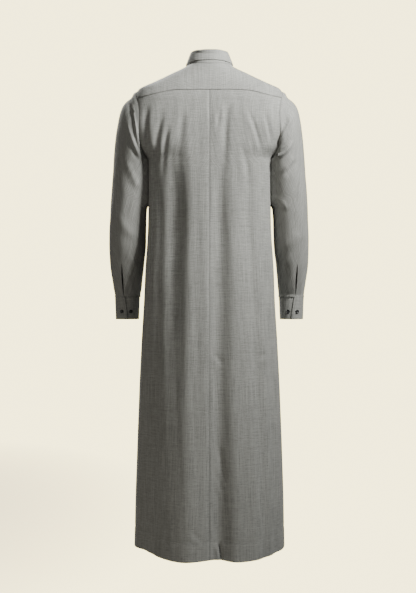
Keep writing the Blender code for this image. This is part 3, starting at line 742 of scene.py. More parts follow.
def shell(
    name: str, grid: Grid, thickness: float, seams: Sequence[Edge] = (), side: int = 1,
    centre: int | None = None,
) -> bpy.types.Object:
    """Closes a grid into a thin wall: an outer face, an inner face and a rim round every free edge.

    Args:
        name: the piece's name.
        grid: the outer face.
        thickness: the wall's thickness.
        seams: the borders that are seams, beside which the finish paints shade into the colour.
        side: 1 if the grid's normals point out of the cloth, -1 if they point in.
        centre: the column on the body's centre line, for cloth whose grain hangs plumb.

    Returns:
        The piece.
    """
    rows, columns = grid.points.shape[:2]
    number = np.arange(rows * columns).reshape(rows, columns)
    if grid.merged_rows is not None:
        number[grid.merged_rows, -1] = number[grid.merged_rows, 0]
    quads = np.stack(
        [number[:-1, :-1], number[:-1, 1:], number[1:, 1:], number[1:, :-1]], axis=-1
    ).reshape(-1, 4)
    if side < 0:
        quads = quads[:, ::-1]
    count = rows * columns
    starts = quads.ravel()
    ends = np.roll(quads, -1, axis=1).ravel()
    code, back = starts * count + ends, ends * count + starts
    free = ~np.isin(code, back)
    rims = np.stack([ends[free], starts[free], starts[free] + count, ends[free] + count], axis=1)
    outward = grid.normals() * side
    outer = grid.points.reshape(-1, 3)
    inner = outer - outward.reshape(-1, 3) * thickness
    along, up = grid.steps()
    if centre is not None:
        step = np.hypot(np.diff(grid.points[..., 0], axis=1), np.diff(grid.points[..., 1], axis=1))
        along = np.concatenate([np.zeros((rows, 1)), np.cumsum(step, axis=1)], axis=1)
        along = along - along[:, [centre]]
        up = grid.points[..., 2]
    # Painted shade: how much the finish darkens the colour, the grid's own painted shade joined by a band
    # beside each seam.
    near = np.zeros((rows, columns)) + grid.shade
    for edge in seams:
        near = np.maximum(near, bump_at(grid.distance(edge), PAINTED_SEAM_SHADE_WIDTH))
    middle = along[:, columns // 2 : columns // 2 + 1]
    weave = np.stack([along - middle, up + 0.0 * along, near], axis=-1).reshape(-1, 3)
    points = np.vstack([outer, inner])
    faces = np.vstack([quads, quads[:, ::-1] + count, rims])
    used = np.unique(faces)
    place = np.full(2 * count, -1)
    place[used] = np.arange(len(used))
    weaves = np.vstack([weave, weave])[used]
    return build_mesh(f"{name}_cloth", points[used], place[faces], weaves)


# -------------------------------------------------------------------------------------- shader kit


class Tone:
    """Wraps a node's output so that expressions add the nodes they need."""

    def __init__(self, book: "NodeBook", socket: bpy.types.NodeSocket) -> None:
        """Keeps the socket and the book it is written in."""
        self.book = book
        self.socket = socket

    def _math(self, operation: str, first: Any, second: Any) -> "Tone":
        """Adds one Math node."""
        return self.book.node("ShaderNodeMath", {"operation": operation}, {0: first, 1: second})

    def __add__(self, other: Any) -> "Tone":
        """self + other."""
        return self._math("ADD", self, other)

    __radd__ = __add__

    def __mul__(self, other: Any) -> "Tone":
        """self * other."""
        return self._math("MULTIPLY", self, other)

    __rmul__ = __mul__

    def __sub__(self, other: Any) -> "Tone":
        """self - other."""
        return self._math("SUBTRACT", self, other)

    def __rsub__(self, other: Any) -> "Tone":
        """other - self."""
        return self._math("SUBTRACT", other, self)

    def out(self, name: str) -> "Tone":
        """Another output of the same node."""
        return Tone(self.book, self.socket.node.outputs[name])


class NodeBook:
    """Writes the nodes of one material."""

    def __init__(self, name: str) -> None:
        """Makes the material and finds its shader.

        Args:
            name: the material's name.
        """
        self.material = bpy.data.materials.new(name)
        self.material.use_nodes = True
        self.tree = self.material.node_tree
        self.shader = self.tree.nodes["Principled BSDF"]

    def node(self, kind: str, settings: dict[str, Any], sockets: dict[Any, Any]) -> Tone:
        """Adds a node.

        Args:
            kind: the node's type.
            settings: its own properties, set first; "stops" fills a colour ramp.
            sockets: values or Tones for its inputs, by name or number.

        Returns:
            Its first output that is in use.
        """
        made = self.tree.nodes.new(kind)
        for key, value in settings.items():
            if key == "stops":
                self._fill_ramp(made, value)
            else:
                setattr(made, key, value)
        for key, value in sockets.items():
            self._feed(made.inputs[key], value)
        live = [output for output in made.outputs if output.enabled]
        return Tone(self, live[0])

    def _feed(self, socket: bpy.types.NodeSocket, value: Any) -> None:
        """Links a Tone or sets a value.

        Args:
            socket: the input.
            value: a Tone or a constant.
        """
        if isinstance(value, Tone):
            self.tree.links.new(value.socket, socket)
        else:
            socket.default_value = value

    @staticmethod
    def _fill_ramp(made: bpy.types.Node, stops: Sequence[tuple[float, tuple[float, ...]]]) -> None:
        """Sets a colour ramp's stops.

        Args:
            made: the ramp's node.
            stops: places and colours.
        """
        elements = made.color_ramp.elements
        while len(elements) < len(stops):
            elements.new(0.5)
        for element, (place, colour) in zip(elements, stops):
            element.position = place
            element.color = colour

    def set(self, values: dict[str, Any]) -> None:
        """Sets or links inputs of the shader."""
        for key, value in values.items():
            self._feed(self.shader.inputs[key], value)

    def blend(self, first: Any, second: Any, factor: Any, mode: str = "MIX") -> Tone:
        """Mixes two colours.

        Args:
            first: a colour or Tone.
            second: a colour or Tone.
            factor: how much of the second.
            mode: the Mix node's blend type.

        Returns:
            The mixed colour.
        """
        made = self.tree.nodes.new("ShaderNodeMix")
        made.data_type = "RGBA"
        made.blend_type = mode
        self._feed(made.inputs["Factor"], factor)
        self._feed(made.inputs[MIX_FIRST], first)
        self._feed(made.inputs[MIX_SECOND], second)
        return Tone(self, made.outputs[MIX_RESULT])

    def scaled(self, vector: Tone, scale: tuple[float, float, float]) -> Tone:
        """A vector multiplied axis by axis."""
        return self.node("ShaderNodeVectorMath", {"operation": "MULTIPLY"}, {0: vector, 1: scale})

    def noise(self, vector: Tone, detail: float = 2.0, roughness: float = 0.5) -> Tone:
        """Noise of unit scale at a vector.

        Args:
            vector: where it is read.
            detail: its octaves.
            roughness: how strong the finer ones are.

        Returns:
            The noise's height.
        """
        return self.node(
            "ShaderNodeTexNoise", {"noise_dimensions": "3D"},
            {"Vector": vector, "Scale": 1.0, "Detail": detail, "Roughness": roughness},
        )

    def ramp(self, value: Tone, low: float, high: float) -> Tone:
        """Stretches a value so that low becomes 0 and high becomes 1.

        Args:
            value: the value.
            low: what becomes 0.
            high: what becomes 1.

        Returns:
            The stretched value.
        """
        return self.node(
            "ShaderNodeMapRange", {"clamp": True},
            {"Value": value, "From Min": low, "From Max": high, "To Min": 0.0, "To Max": 1.0},
        )


@dataclass(frozen=True)
class MelangeCloth:
    """A fine suiting of mixed grey yarns, with slubs both ways and a soft sheen."""

    name: str = "grey_melange"
    dark: Colour = (0.185, 0.187, 0.178, 1.0)
    light: Colour = (0.375, 0.377, 0.360, 1.0)
    # painted shade: how far the colour is darkened towards black beside seams and along the hem
    painted_seam_shade: float = 0.30
    roughness: float = 0.74
    sheen: float = 0.28
    bump: float = 0.00022

    def make(self) -> bpy.types.Material:
        """Builds the material.

        Returns:
            The material.
        """
        book = NodeBook(self.name)
        weave = book.node("ShaderNodeAttribute", {"attribute_name": "weave"}, {}).out("Vector")
        parts = book.node("ShaderNodeSeparateXYZ", {}, {0: weave})
        # the weave's third value is how much painted shade the cloth takes beside seams and the hem
        seam = parts.out("Z")
        flat = book.node("ShaderNodeCombineXYZ", {}, {0: parts.out("X"), 1: parts.out("Y")})
        warp = book.noise(book.scaled(flat, (420.0, 11.0, 1.0)), 3.0)
        weft = book.noise(book.scaled(flat, (13.0, 460.0, 1.0)), 3.0)
        fleck = book.noise(book.scaled(flat, (340.0, 340.0, 1.0)), 4.0, 0.62)
        cloud = book.noise(book.scaled(flat, (17.0, 9.0, 1.0)), 2.0)
        thread = book.noise(book.scaled(flat, (1500.0, 1500.0, 1.0)), 1.0)
        slub = book.noise(book.scaled(flat, (60.0, 330.0, 1.0)), 2.0)
        streak = book.noise(book.scaled(flat, (300.0, 9.0, 1.0)), 2.0)
        tone = warp * 0.24 + weft * 0.22 + fleck * 0.22 + thread * 0.10
        tone = tone + slub * 0.20 + streak * 0.18 + cloud * 0.06
        colour = book.blend(self.dark, self.light, book.ramp(tone, 0.50, 0.73))
        # Painted shade: the colour is darkened towards black beside seams and along the hem's stitching,
        # standing for the shade in their grooves.
        shade = 1.0 - seam * self.painted_seam_shade
        colour = book.blend((0.0, 0.0, 0.0, 1.0), colour, shade)
        height = warp * 0.5 + weft * 0.5 + fleck * 0.5 + thread * 0.5
        normal = book.node(
            "ShaderNodeBump", {}, {"Strength": 0.55, "Distance": self.bump, "Height": height}
        )
        book.set({
            "Base Color": colour,
            "Roughness": self.roughness - 0.10 * (fleck - 0.5),
            "Normal": normal,
            "Sheen Weight": self.sheen,
            "Sheen Roughness": 0.45,
            "Specular IOR Level": 0.32,
        })
        return book.material


@dataclass(frozen=True)
class ButtonPlastic:
    """Near-black moulded plastic with a faint marbling."""

    name: str = "dark_button"
    dark: Colour = (0.010, 0.010, 0.011, 1.0)
    light: Colour = (0.030, 0.030, 0.033, 1.0)

    def make(self) -> bpy.types.Material:
        """Builds the material.

        Returns:
            The material.
        """
        book = NodeBook(self.name)
        place = book.node("ShaderNodeTexCoord", {}, {}).out("Object")
        marble = book.noise(book.scaled(place, (520.0, 520.0, 520.0)), 3.0)
        fine = book.noise(book.scaled(place, (2600.0, 2600.0, 2600.0)), 1.0)
        book.set({
            "Base Color": book.blend(self.dark, self.light, book.ramp(marble, 0.35, 0.70)),
            "Roughness": 0.26 + marble * 0.16 + fine * 0.05,
            "Specular IOR Level": 0.5,
        })
        return book.material


@dataclass(frozen=True)
class SewingThread:
    """Twisted sewing thread, a shade darker than the cloth."""

    name: str = "sewing_thread"
    dark: Colour = (0.130, 0.130, 0.126, 1.0)
    light: Colour = (0.250, 0.250, 0.242, 1.0)

    def make(self) -> bpy.types.Material:
        """Builds the material.

        Returns:
            The material.
        """
        book = NodeBook(self.name)
        place = book.node("ShaderNodeTexCoord", {}, {}).out("Object")
        twist = book.noise(book.scaled(place, (3000.0, 3000.0, 3000.0)), 2.0)
        book.set({
            "Base Color": book.blend(self.dark, self.light, book.ramp(twist, 0.3, 0.7)),
            "Roughness": 0.62 + 0.1 * twist,
            "Sheen Weight": 0.2,
        })
        return book.material


class Finish(Enum):
    """The finishes the pieces wear."""

    CLOTH = "cloth"
    BUTTON = "button"
    THREAD = "thread"


@dataclass
class Wardrobe:
    """Holds one material per finish and dresses the pieces in them."""

    materials: dict[Finish, bpy.types.Material] = field(default_factory=dict)

    def __post_init__(self) -> None:
        """Makes the three materials."""
        self.materials = {
            Finish.CLOTH: MelangeCloth().make(),
            Finish.BUTTON: ButtonPlastic().make(),
            Finish.THREAD: SewingThread().make(),
        }

    def dress(self, piece: bpy.types.Object, finish: Finish, nodes: Sequence[str] = ()) -> None:
        """Gives a piece its finish and its body, hides the CAD nodes it stands for and logs its face count.

        Args:
            piece: the finished mesh object.
            finish: what it is made of.
            nodes: the CAD nodes it stands for.
        """
        piece.data.materials.clear()
        piece.data.materials.append(self.materials[finish])
        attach(piece, BODY)
        if nodes:
            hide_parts(*nodes)
        LOG.info("%s: %d faces", piece.name, len(piece.data.polygons))

    def sew(
        self, name: str, grid: Grid, thickness: float, seams: Sequence[Edge] = (), side: int = 1,
        centre: int | None = None,
    ) -> bpy.types.Object:
        """Makes a piece of cloth that stands for the CAD node of the same name.

        Args:
            name: the node's name.
            grid: the outer face.
            thickness: the wall's thickness.
            seams: the borders that are seams, beside which the finish paints shade into the colour.
            side: 1 if the grid's normals point out of the cloth, -1 if they point in.
            centre: the column on the body's centre line, for cloth whose grain hangs plumb.

        Returns:
            The piece.
        """
        piece = shell(name, grid, thickness, seams, side, centre)
        self.dress(piece, Finish.CLOTH, [name])
        return piece


# ------------------------------------------------------------------------------------- stitching


@dataclass(frozen=True)
class StitchLine:
    """A line of even stitches that lie just proud of the cloth."""

    length: float = 0.0024
    pitch: float = 0.0034
    radius: float = 0.00024
    sides: int = 5
    look_ahead: float = 0.001
    rings: tuple[tuple[float, float, float], ...] = (
        # along its length, how thick, how far proud
        (-0.5, 0.25, -0.6), (-0.3, 1.0, 0.35), (0.3, 1.0, 0.35), (0.5, 0.25, -0.6),
    )

    def lay(self, path: Array, normals: Array) -> tuple[Array, Array]:
        """Makes the stitches of one line.

        Args:
            path: points by 3 along the line, on the cloth's face.
            normals: the cloth's normals there.

        Returns:
            The points and the faces.
        """
        run = np.concatenate([[0.0], np.cumsum(np.linalg.norm(np.diff(path, axis=0), axis=1))])
        count = int(run[-1] // self.pitch)
        if count < 1:
            return np.zeros((0, 3)), np.zeros((0, 4), int)
        middle = (np.arange(count) + 0.5) * run[-1] / count
        place, up = interp_rows(middle, run, path), interp_rows(middle, run, normals)
        ahead, behind = (interp_rows(middle + self.look_ahead * k, run, path) for k in (1, -1))
        way = ahead - behind
        way /= np.linalg.norm(way, axis=1, keepdims=True)
        up /= np.linalg.norm(up, axis=1, keepdims=True)
        across = np.cross(way, up)
        points = []
        for along, size, lift in self.rings:
            for k in range(self.sides):
                a = 2 * math.pi * k / self.sides
                offset = way * along * self.length
                offset = offset + across * math.cos(a) * size * self.radius
                offset = offset + up * (math.sin(a) * size + lift) * self.radius
                points.append(place + offset)
        template = np.asarray(ring_faces(len(self.rings), self.sides))
        shift = np.arange(count)[:, None, None] * len(points)
        points = np.stack(points, axis=1)
        return points.reshape(-1, 3), (template[None] + shift).reshape(-1, 4)


class Stitches:
    """Gathers the stitch lines of one part of the robe into one piece."""

    def __init__(self, name: str, style: StitchLine | None = None) -> None:
        """Starts an empty piece.

        Args:
            name: the piece's name.
            style: the shape of its stitches.
        """
        self.name = name
        self.style = style or StitchLine()
        self.points: list[Array] = []
        self.faces: list[Array] = []
        self.count = 0

    def add(self, path: Array, normals: Array) -> None:
        """Adds one line.

        Args:
            path: points by 3 along the line.
            normals: the cloth's normals there.
        """
        points, faces = self.style.lay(path, normals)
        if len(points):
            self.points.append(points)
            self.faces.append(faces + self.count)
            self.count += len(points)

    def along_edge(self, grid: Grid, edge: Edge, inset: float, side: int = 1, skip: float = 0.0) -> None:
        """Adds a line a set distance in from a grid's border.

        Args:
            grid: the cloth.
            edge: the border it follows.
            inset: how far in.
            side: 1 if the grid's normals point out of the cloth.
            skip: the part of the line left out at each end.
        """
        distance = grid.distance(edge)
        points, normals = grid.points, grid.normals() * side
        if edge in (Edge.LEFT, Edge.RIGHT):
            distance, points, normals = distance.T, points.swapaxes(0, 1), normals.swapaxes(0, 1)
        if edge in (Edge.RIGHT, Edge.TOP):
            distance, points, normals = distance[::-1], points[::-1], normals[::-1]
        columns = points.shape[1]
        first, last = int(columns * skip), columns - int(columns * skip)
        path, ups = [], []
        for j in range(first, last):
            k = int(np.clip(np.searchsorted(distance[:, j], inset), 1, len(distance) - 1))
            span = max(distance[k, j] - distance[k - 1, j], 1e-9)
            t = float(np.clip((inset - distance[k - 1, j]) / span, 0.0, 1.0))
            path.append(mix(points[k - 1, j], points[k, j], t))
            ups.append(mix(normals[k - 1, j], normals[k, j], t))
        self.add(np.array(path), np.array(ups))

    def build(self, wardrobe: Wardrobe) -> None:
        """Makes the piece and dresses it.

        Args:
            wardrobe: the finishes.
        """
        points, faces = np.vstack(self.points), np.vstack(self.faces)
        thing = build_mesh(self.name, points, faces, np.zeros((len(points), 3)), 180.0)
        wardrobe.dress(thing, Finish.THREAD)


# ---------------------------------------------------------------------------------- body and yoke


@dataclass
class BodyCloth:
    """The two back panels, the front, the yoke and the front placket."""

    wardrobe: Wardrobe
    low_part: float = 11 / 18
    placket_half_width: float = 0.0165
    panel_rows: int = 236
    back_columns: int = 82
    front_columns: int = 78
    yoke_rows: int = 56
    hem_depth: float = 0.052
    hem_groove: float = 0.0017
    hem_groove_width: float = 0.0026
    hem_thick: float = 0.0004
    # painted shade along the hem's stitched groove
    painted_hem_shade: float = 0.8
    seam_hold: float = 0.018
    hang_from_z: float = -0.12
    hang_over: float = 0.5
    turn_scale: float = 4.2
    slow_wave: Wave = Wave(0.0016, 2.1, 3.4)
    fine_wave: Wave = Wave(0.0005, 5.0, 16.0, 2.0)
    yoke_wave: Wave = Wave(0.0004, 60.0, 40.0, 5.0)
    seam_roll: Pair = (0.0003, 0.0020)
    centre_roll: Pair = (0.0011, 0.0030)
    back_armpit_z: float = -0.305
    front_armpit_z: float = -0.372
    yoke_lift: float = 0.0005
    placket_foot: float = -0.4290
    placket_head: float = -0.0600
    placket_point: float = 0.03
    placket_point_share: float = 0.7
    placket_gap: float = 0.0005
    placket_roll: Pair = (0.0005, 0.0010)
    placket_inset: float = 0.0035
    yoke_inset: float = 0.0022
    back_creases: tuple[Crease, ...] = (
        # drag folds under the left blade
        Crease(((0.174, -0.112), (0.184, -0.188), (0.173, -0.290)), 0.0080, 0.0040, 0.4, -1.0, 0.35, 0.4),
        Crease(((0.128, -0.135), (0.149, -0.214), (0.152, -0.320)), 0.0080, 0.0042, 0.5, -1.0, 0.4, 0.4),
        Crease(((0.112, -0.175), (0.128, -0.240), (0.134, -0.350)), 0.0070, 0.0036, 0.5, -1.0, 0.4, 0.4),
        Crease(((0.070, -0.130), (0.082, -0.200), (0.088, -0.330)), 0.0100, 0.0030, 0.4, -1.0, 0.4, 0.5),
        # drag folds under the right blade
        Crease(((-0.034, -0.130), (-0.026, -0.165), (-0.020, -0.205)), 0.0060, 0.0020, 0.5, 1.0, 0.4, 0.5),
        Crease(((-0.060, -0.115), (-0.046, -0.200), (-0.042, -0.400)), 0.0090, 0.0034, 0.4, 1.0, 0.3, 0.5),
        Crease(((-0.104, -0.120), (-0.136, -0.205), (-0.146, -0.260)), 0.0060, 0.0030, 0.5, 1.0, 0.4, 0.4),
        Crease(((-0.154, -0.130), (-0.170, -0.190), (-0.176, -0.240)), 0.0055, 0.0028, 0.5, 1.0, 0.4, 0.4),
        Crease(((-0.088, -0.225), (-0.110, -0.310), (-0.114, -0.420)), 0.0080, 0.0028, 0.4, 1.0, 0.4, 0.5),
        # dents low on the right
        Crease(((-0.014, -0.830), (-0.026, -0.850), (-0.044, -0.862)), 0.0060, 0.0020, 0.6, 1.0),
        Crease(((-0.132, -0.838), (-0.150, -0.842), (-0.166, -0.836)), 0.0060, 0.0022, 0.6, 1.0),
        Crease(((-0.026, -1.085), (-0.034, -1.150), (-0.046, -1.215)), 0.0080, 0.0030, 0.5, 1.0),
        Crease(((-0.020, -1.180), (-0.030, -1.200), (-0.034, -1.235)), 0.0050, 0.0026, 0.6, 1.0),
        # kick above the hem
        Crease(((-0.024, -1.366), (-0.029, -1.392), (-0.033, -1.424)), 0.0045, 0.0066, 0.7, 1.0, 0.3, 0.2),
        Crease(((0.052, -1.330), (0.034, -1.348), (0.018, -1.358)), 0.0060, 0.0020, 0.5, 1.0),
    )
    front_creases: tuple[Crease, ...] = (
        Crease(((0.166, -0.150), (0.160, -0.200), (0.146, -0.270)), 0.0075, 0.0040, 0.5, -1.0),
        Crease(((0.138, -0.120), (0.142, -0.200), (0.132, -0.310)), 0.0090, 0.0040, 0.5, -1.0),
        Crease(((-0.170, -0.150), (-0.162, -0.210), (-0.150, -0.300)), 0.0080, 0.0045, 0.5, 1.0),
        Crease(((-0.136, -0.115), (-0.146, -0.200), (-0.138, -0.340)), 0.0100, 0.0042, 0.5, 1.0),
        Crease(((0.072, -0.140), (0.080, -0.260), (0.078, -0.460)), 0.0110, 0.0040, 0.4, -1.0),
        Crease(((-0.074, -0.140), (-0.078, -0.240), (-0.076, -0.420)), 0.0110, 0.0036, 0.4, 1.0),
    )

    def rows_up(self, turn: float, armpit_z: float, top_z: float) -> Array:
        """A centre line's turns and heights, from the hem to its top.

        Args:
            turn: the line's turn.
            armpit_z: its height level with the armpit.
            top_z: its top.

        Returns:
            Rows by 2 values.
        """
        v = np.linspace(0, 1, self.panel_rows)
        hem = float(FORM.hem_z(np.array(turn)))
        z = np.interp(v, [0.0, self.low_part, 1.0], [hem, armpit_z, top_z])
        return np.stack([np.full_like(z, turn), z], axis=1)

    def side_up(self, phis: Sequence[float]) -> Array:
        """The side seam's and armhole's turns and heights.

        Args:
            phis: the armhole's angles at even steps of the upper rows.

        Returns:
            Rows by 2 values.
        """
        v = np.linspace(0, 1, self.panel_rows)
        low = v <= self.low_part
        along = np.clip((v - self.low_part) / (1 - self.low_part), 0.0, 1.0)
        phi = np.interp(along, np.linspace(0, 1, len(phis)), phis)
        turn, z = FORM.armhole(phi)
        armpit = FORM.armhole_z - FORM.armhole_half_height
        low_z = mix(HEM_SIDE_Z, armpit, v / self.low_part)
        return np.stack([np.where(low, 90.0, turn), np.where(low, low_z, z)], axis=1)

    def back_cut(self) -> Array:
        """The turns and heights of a back panel.

        Returns:
            Rows by columns by 2 values.
        """
        phis = [mix(180.0, SLIT_PHI, i / 5) for i in range(5)]
        phis += [SLIT_PHI, mix(SLIT_PHI, FORM.back_corner, 0.5), FORM.back_corner]
        u = np.linspace(0, 1, self.back_columns)
        bottom = np.stack([90 * u, FORM.hem_z(90 * u)], axis=1)
        top = np.stack(FORM.yoke_seam(u * FORM.yoke_corner_x()), axis=1)
        return coons(self.rows_up(0.0, self.back_armpit_z, FORM.yoke_mid_z), self.side_up(phis), bottom, top)

    def front_cut(self) -> Array:
        """The turns and heights of half the front, from the centre to the side.

        Returns:
            Rows by columns by 2 values.
        """
        phis = [mix(180.0, 360 + FORM.front_corner, i / 7) for i in range(8)]
        neck_part = 5 / 11
        u = np.linspace(0, 1, self.front_columns)
        angle = np.interp(u / neck_part, np.arange(6) / 5, [180.0, 166.0, 153.5, 141.0, 128.5, 116.0])
        neck = np.stack(FORM.neckline(angle), axis=1)
        seam = np.stack(FORM.front_seam(np.clip((u - neck_part) / (1 - neck_part), 0, 1)), axis=1)
        top = np.where((u <= neck_part)[:, None], neck, seam)
        bottom = np.stack([180 - 90 * u, FORM.hem_z(180 - 90 * u)], axis=1)
        middle = self.rows_up(180.0, self.front_armpit_z, float(top[0, 1]))
        return coons(middle, self.side_up(phis), bottom, top)

    def hem_line(self, grid: Grid) -> None:
        """Presses the turned hem: a stitched groove with the doubled cloth below it.

        Args:
            grid: the cloth.
        """
        up = grid.distance(Edge.BOTTOM)
        groove = -self.hem_groove * bump_at(up - self.hem_depth, self.hem_groove_width)
        doubled = self.hem_thick * smooth_step((self.hem_depth - up) / 0.004)
        grid.press(groove + doubled)
        # painted shade along the hem's stitched groove, which the finish darkens the colour by
        grid.shade = self.painted_hem_shade * bump_at(up - self.hem_depth, 0.0020)

    def crumple(self, grid: Grid, creases: Sequence[Crease], edges: Sequence[Edge], seed: float) -> None:
        """Presses in the creases and the slow unevenness of hanging cloth, held still at the seams.

        Args:
            grid: the cloth.
            creases: its creases.
            edges: the borders sewn to other cloth.
            seed: which unevenness.
        """
        x, y, z = (grid.points[..., k] for k in range(3))
        held = np.ones(x.shape)
        for edge in edges:
            held = held * smooth_step(grid.distance(edge) / self.seam_hold)
        around = np.arctan2(x, y) * self.turn_scale
        hang = smooth_step((self.hang_from_z - z) / self.hang_over)
        move = press_all(creases, x, z) + hang * self.slow_wave.at(around, z, seed)
        grid.press(held * (move + self.fine_wave.at(around, z, seed)))

    def make_back(self, side: int) -> Grid:
        """One back panel.

        Args:
            side: 1 for the wearer's left, -1 for the right.

        Returns:
            Its grid.
        """
        cut = self.back_cut()
        grid = Grid(FORM.point(side * cut[..., 0], cut[..., 1]))
        name, centre, outer, middle = "back_right", Edge.LEFT, Edge.RIGHT, 0
        if side > 0:
            grid.points = grid.points[:, ::-1]
            name, centre, outer, middle = "back_left", Edge.RIGHT, Edge.LEFT, self.back_columns - 1
        self.crumple(grid, self.back_creases, (outer, Edge.TOP), 1.0)
        self.hem_line(grid)
        grid.roll([centre], *self.centre_roll)
        grid.roll([outer], *self.seam_roll)
        piece = self.wardrobe.sew(name, grid, SHELL, (*SIDES, Edge.TOP), 1, middle)
        return grid

    def make_front(self) -> Grid:
        """The front, in one piece, closed under its placket.

        Returns:
            Its grid.
        """
        grid = both_sides(self.front_cut())
        self.crumple(grid, self.front_creases, (*SIDES, Edge.TOP), 7.0)
        self.hem_line(grid)
        grid.roll(SIDES, *self.seam_roll)
        middle = grid.points.shape[1] // 2
        piece = self.wardrobe.sew("front", grid, SHELL, (*SIDES, Edge.TOP), 1, middle)
        return grid

    def make_yoke(self) -> Grid:
        """The yoke, its lower edge lying over the back panels.

        Returns:
            Its grid.
        """
        corner_x = FORM.yoke_corner_x()
        back = np.linspace(0, 1, 64)
        top = np.linspace(0, 1, 24)[1:]
        seam_turn, seam_z = FORM.yoke_seam(back * corner_x)
        phi = mix(FORM.back_corner, FORM.front_corner, top)
        hole_turn, hole_z = FORM.armhole(phi)
        outer = np.stack([np.concatenate([seam_turn, hole_turn]), np.concatenate([seam_z, hole_z])], axis=1)
        part = np.concatenate([back * 12 / 17, 12 / 17 + top * 5 / 17])
        inner = np.stack(FORM.neckline(FORM.neck_yoke_corner * part), axis=1)
        v = np.linspace(0, 1, self.yoke_rows)[:, None, None]
        grid = both_sides(mix(inner[None], outer[None], v))
        over_back = smooth_step((grid.points[..., 1] - 0.05) / 0.02)
        grid.press(self.yoke_lift + self.yoke_lift * over_back * bump_at(grid.distance(Edge.TOP), 0.012))
        x, y = grid.points[..., 0], grid.points[..., 1]
        grid.press(self.yoke_wave.at(x, y))
        piece = self.wardrobe.sew("back_yoke", grid, SHELL, (Edge.TOP, Edge.BOTTOM))
        return grid

    def make_placket(self, front: Grid) -> Grid:
        """The strip over the front slit, taken from the front's own face so that it lies on it.

        Args:
            front: the front's grid.

        Returns:
            Its grid.
        """
        middle = front.points.shape[1] // 2
        centre_z = front.points[:, middle, 2]
        heights = np.linspace(self.placket_foot, self.placket_head, 150)
        across = np.linspace(-1, 1, 23)
        normals = front.normals()
        points, ups = [], []
        near = slice(middle - 22, middle + 23)
        for z in heights:
            row = int(np.clip(np.searchsorted(centre_z, z), 1, len(centre_z) - 1))
            t = (z - centre_z[row - 1]) / (centre_z[row] - centre_z[row - 1])
            line, up = (mix(rows[row - 1, near], rows[row, near], t) for rows in (front.points, normals))
            points.append(interp_rows(across * self.placket_half_width, line[:, 0], line))
            ups.append(interp_rows(across * self.placket_half_width, line[:, 0], up))
        points, ups = np.array(points), np.array(ups)
        tip = self.placket_half_width * (1 - np.abs(across))
        lowest = np.clip((self.placket_foot + self.placket_point - heights) / self.placket_point, 0, 1)
        points[..., 2] -= (lowest**2)[:, None] * tip[None] * self.placket_point_share
        grid = Grid(points + ups * (self.placket_gap + DOUBLE_SHELL))
        grid.roll((*SIDES, Edge.BOTTOM), *self.placket_roll)
        piece = self.wardrobe.sew("front_placket", grid, DOUBLE_SHELL)
        return grid

    def build(self) -> dict[str, Grid]:
        """Makes the body's pieces and their stitching.

        Returns:
            The grids that later pieces are set on.
        """
        seams = Stitches("body_stitches")
        grids = {"back_left": self.make_back(1), "back_right": self.make_back(-1)}
        grids["front"] = self.make_front()
        for grid in grids.values():
            seams.along_edge(grid, Edge.BOTTOM, self.hem_depth)
        grids["back_yoke"] = self.make_yoke()
        seams.along_edge(grids["back_yoke"], Edge.TOP, self.yoke_inset)
        grids["front_placket"] = self.make_placket(grids["front"])
        for edge in (*SIDES, Edge.BOTTOM):
            seams.along_edge(grids["front_placket"], edge, self.placket_inset)
        seams.build(self.wardrobe)
        return grids


# ---------------------------------------------------------------------------------- sleeves and cuffs


class SleeveForm:
    """The tube a sleeve's cloth lies on; phi is 0 on its outer side, 90 at the back and 180 inside."""

    armhole_gap = 0.0007
    reach = 3.0
    clearance = 0.0005
    clear_by = 0.5
    slit_top_z = -0.574
    slit_gape = 3.2
    end_z = -0.6680
    hug_low_z = -0.412
    hug_high_z = -0.255
    hug_ease = 0.02
    hug_from = 0.70
    hug_full = 0.90

    def __init__(self) -> None:
        """Makes the smooth table of sections."""
        self.table = Profile(list(range(len(SLEEVE_SECTIONS))), SLEEVE_SECTIONS)

    def ring(self, phi: Array, row: Array) -> Array:
        """Points of the plain rings between the left sleeve's outer and inner sides.

        Args:
            phi: degrees round the arm.
            row: places along the table of sections.

        Returns:
            The points.
        """
        outer_x, outer_z, inner_x, inner_z, half_depth, centre_y = self.table.at(row)
        along = (1 + cosd(phi)) / 2
        y = centre_y + half_depth * sind(phi)
        return np.stack([mix(inner_x, outer_x, along), y, mix(inner_z, outer_z, along)], axis=-1)

    def start(self, phi: Array) -> Array:
        """Points of the left sleeve's first ring, just inside the armhole's edge.

        Args:
            phi: degrees round the arm.

        Returns:
            The points.
        """
        s = sind(phi)
        y = (np.where(s > 0, FORM.armhole_back, FORM.armhole_front) - self.armhole_gap) * s
        rise = FORM.armhole_half_height - self.armhole_gap
        z = FORM.armhole_z + rise * cosd(phi)
        return np.stack([FORM.side_x(y, z) + SEAM_GAP, y, z], axis=-1)

    def point(self, side: int, phi: Array, row: Array) -> Array:
        """Points of a sleeve's outer face.

        Args:
            side: 1 for the wearer's left, -1 for the right.
            phi: degrees round the arm.
            row: places along the table of sections.

        Returns:
            The points, with x, y and z on the last axis.
        """
        phi, row = np.broadcast_arrays(np.asarray(phi, float), np.asarray(row, float))
        place = self.ring(phi, row)
        share = np.clip(1 - row / self.reach, 0.0, 1.0)[..., None] ** 2
        place = place + (self.start(phi) - self.ring(phi, np.zeros_like(row))) * share
        clear = mix(SEAM_GAP, self.clearance, np.clip(row / self.clear_by, 0.0, 1.0))
        wall = FORM.side_x(place[..., 1], place[..., 2]) + clear
        z = place[..., 2]
        hug = smooth_step((z - self.hug_low_z) / self.hug_ease)
        hug = hug * smooth_step((self.hug_high_z - z) / self.hug_ease)
        hug = hug * ease_over(-cosd(phi), self.hug_from, self.hug_full)
        place[..., 0] = mix(np.maximum(place[..., 0], wall), wall, hug) * side
        return place

    def gape(self, z: Array) -> Array:
        """Half the angle by which the slit stands open at a height."""
        t = np.clip((self.slit_top_z - z) / (self.slit_top_z - self.end_z), 0.0, 1.0)
        return np.where(t > 0, self.slit_gape * np.sin(math.pi * t) ** 0.8 + 0.3, 0.0)


ARM = SleeveForm()


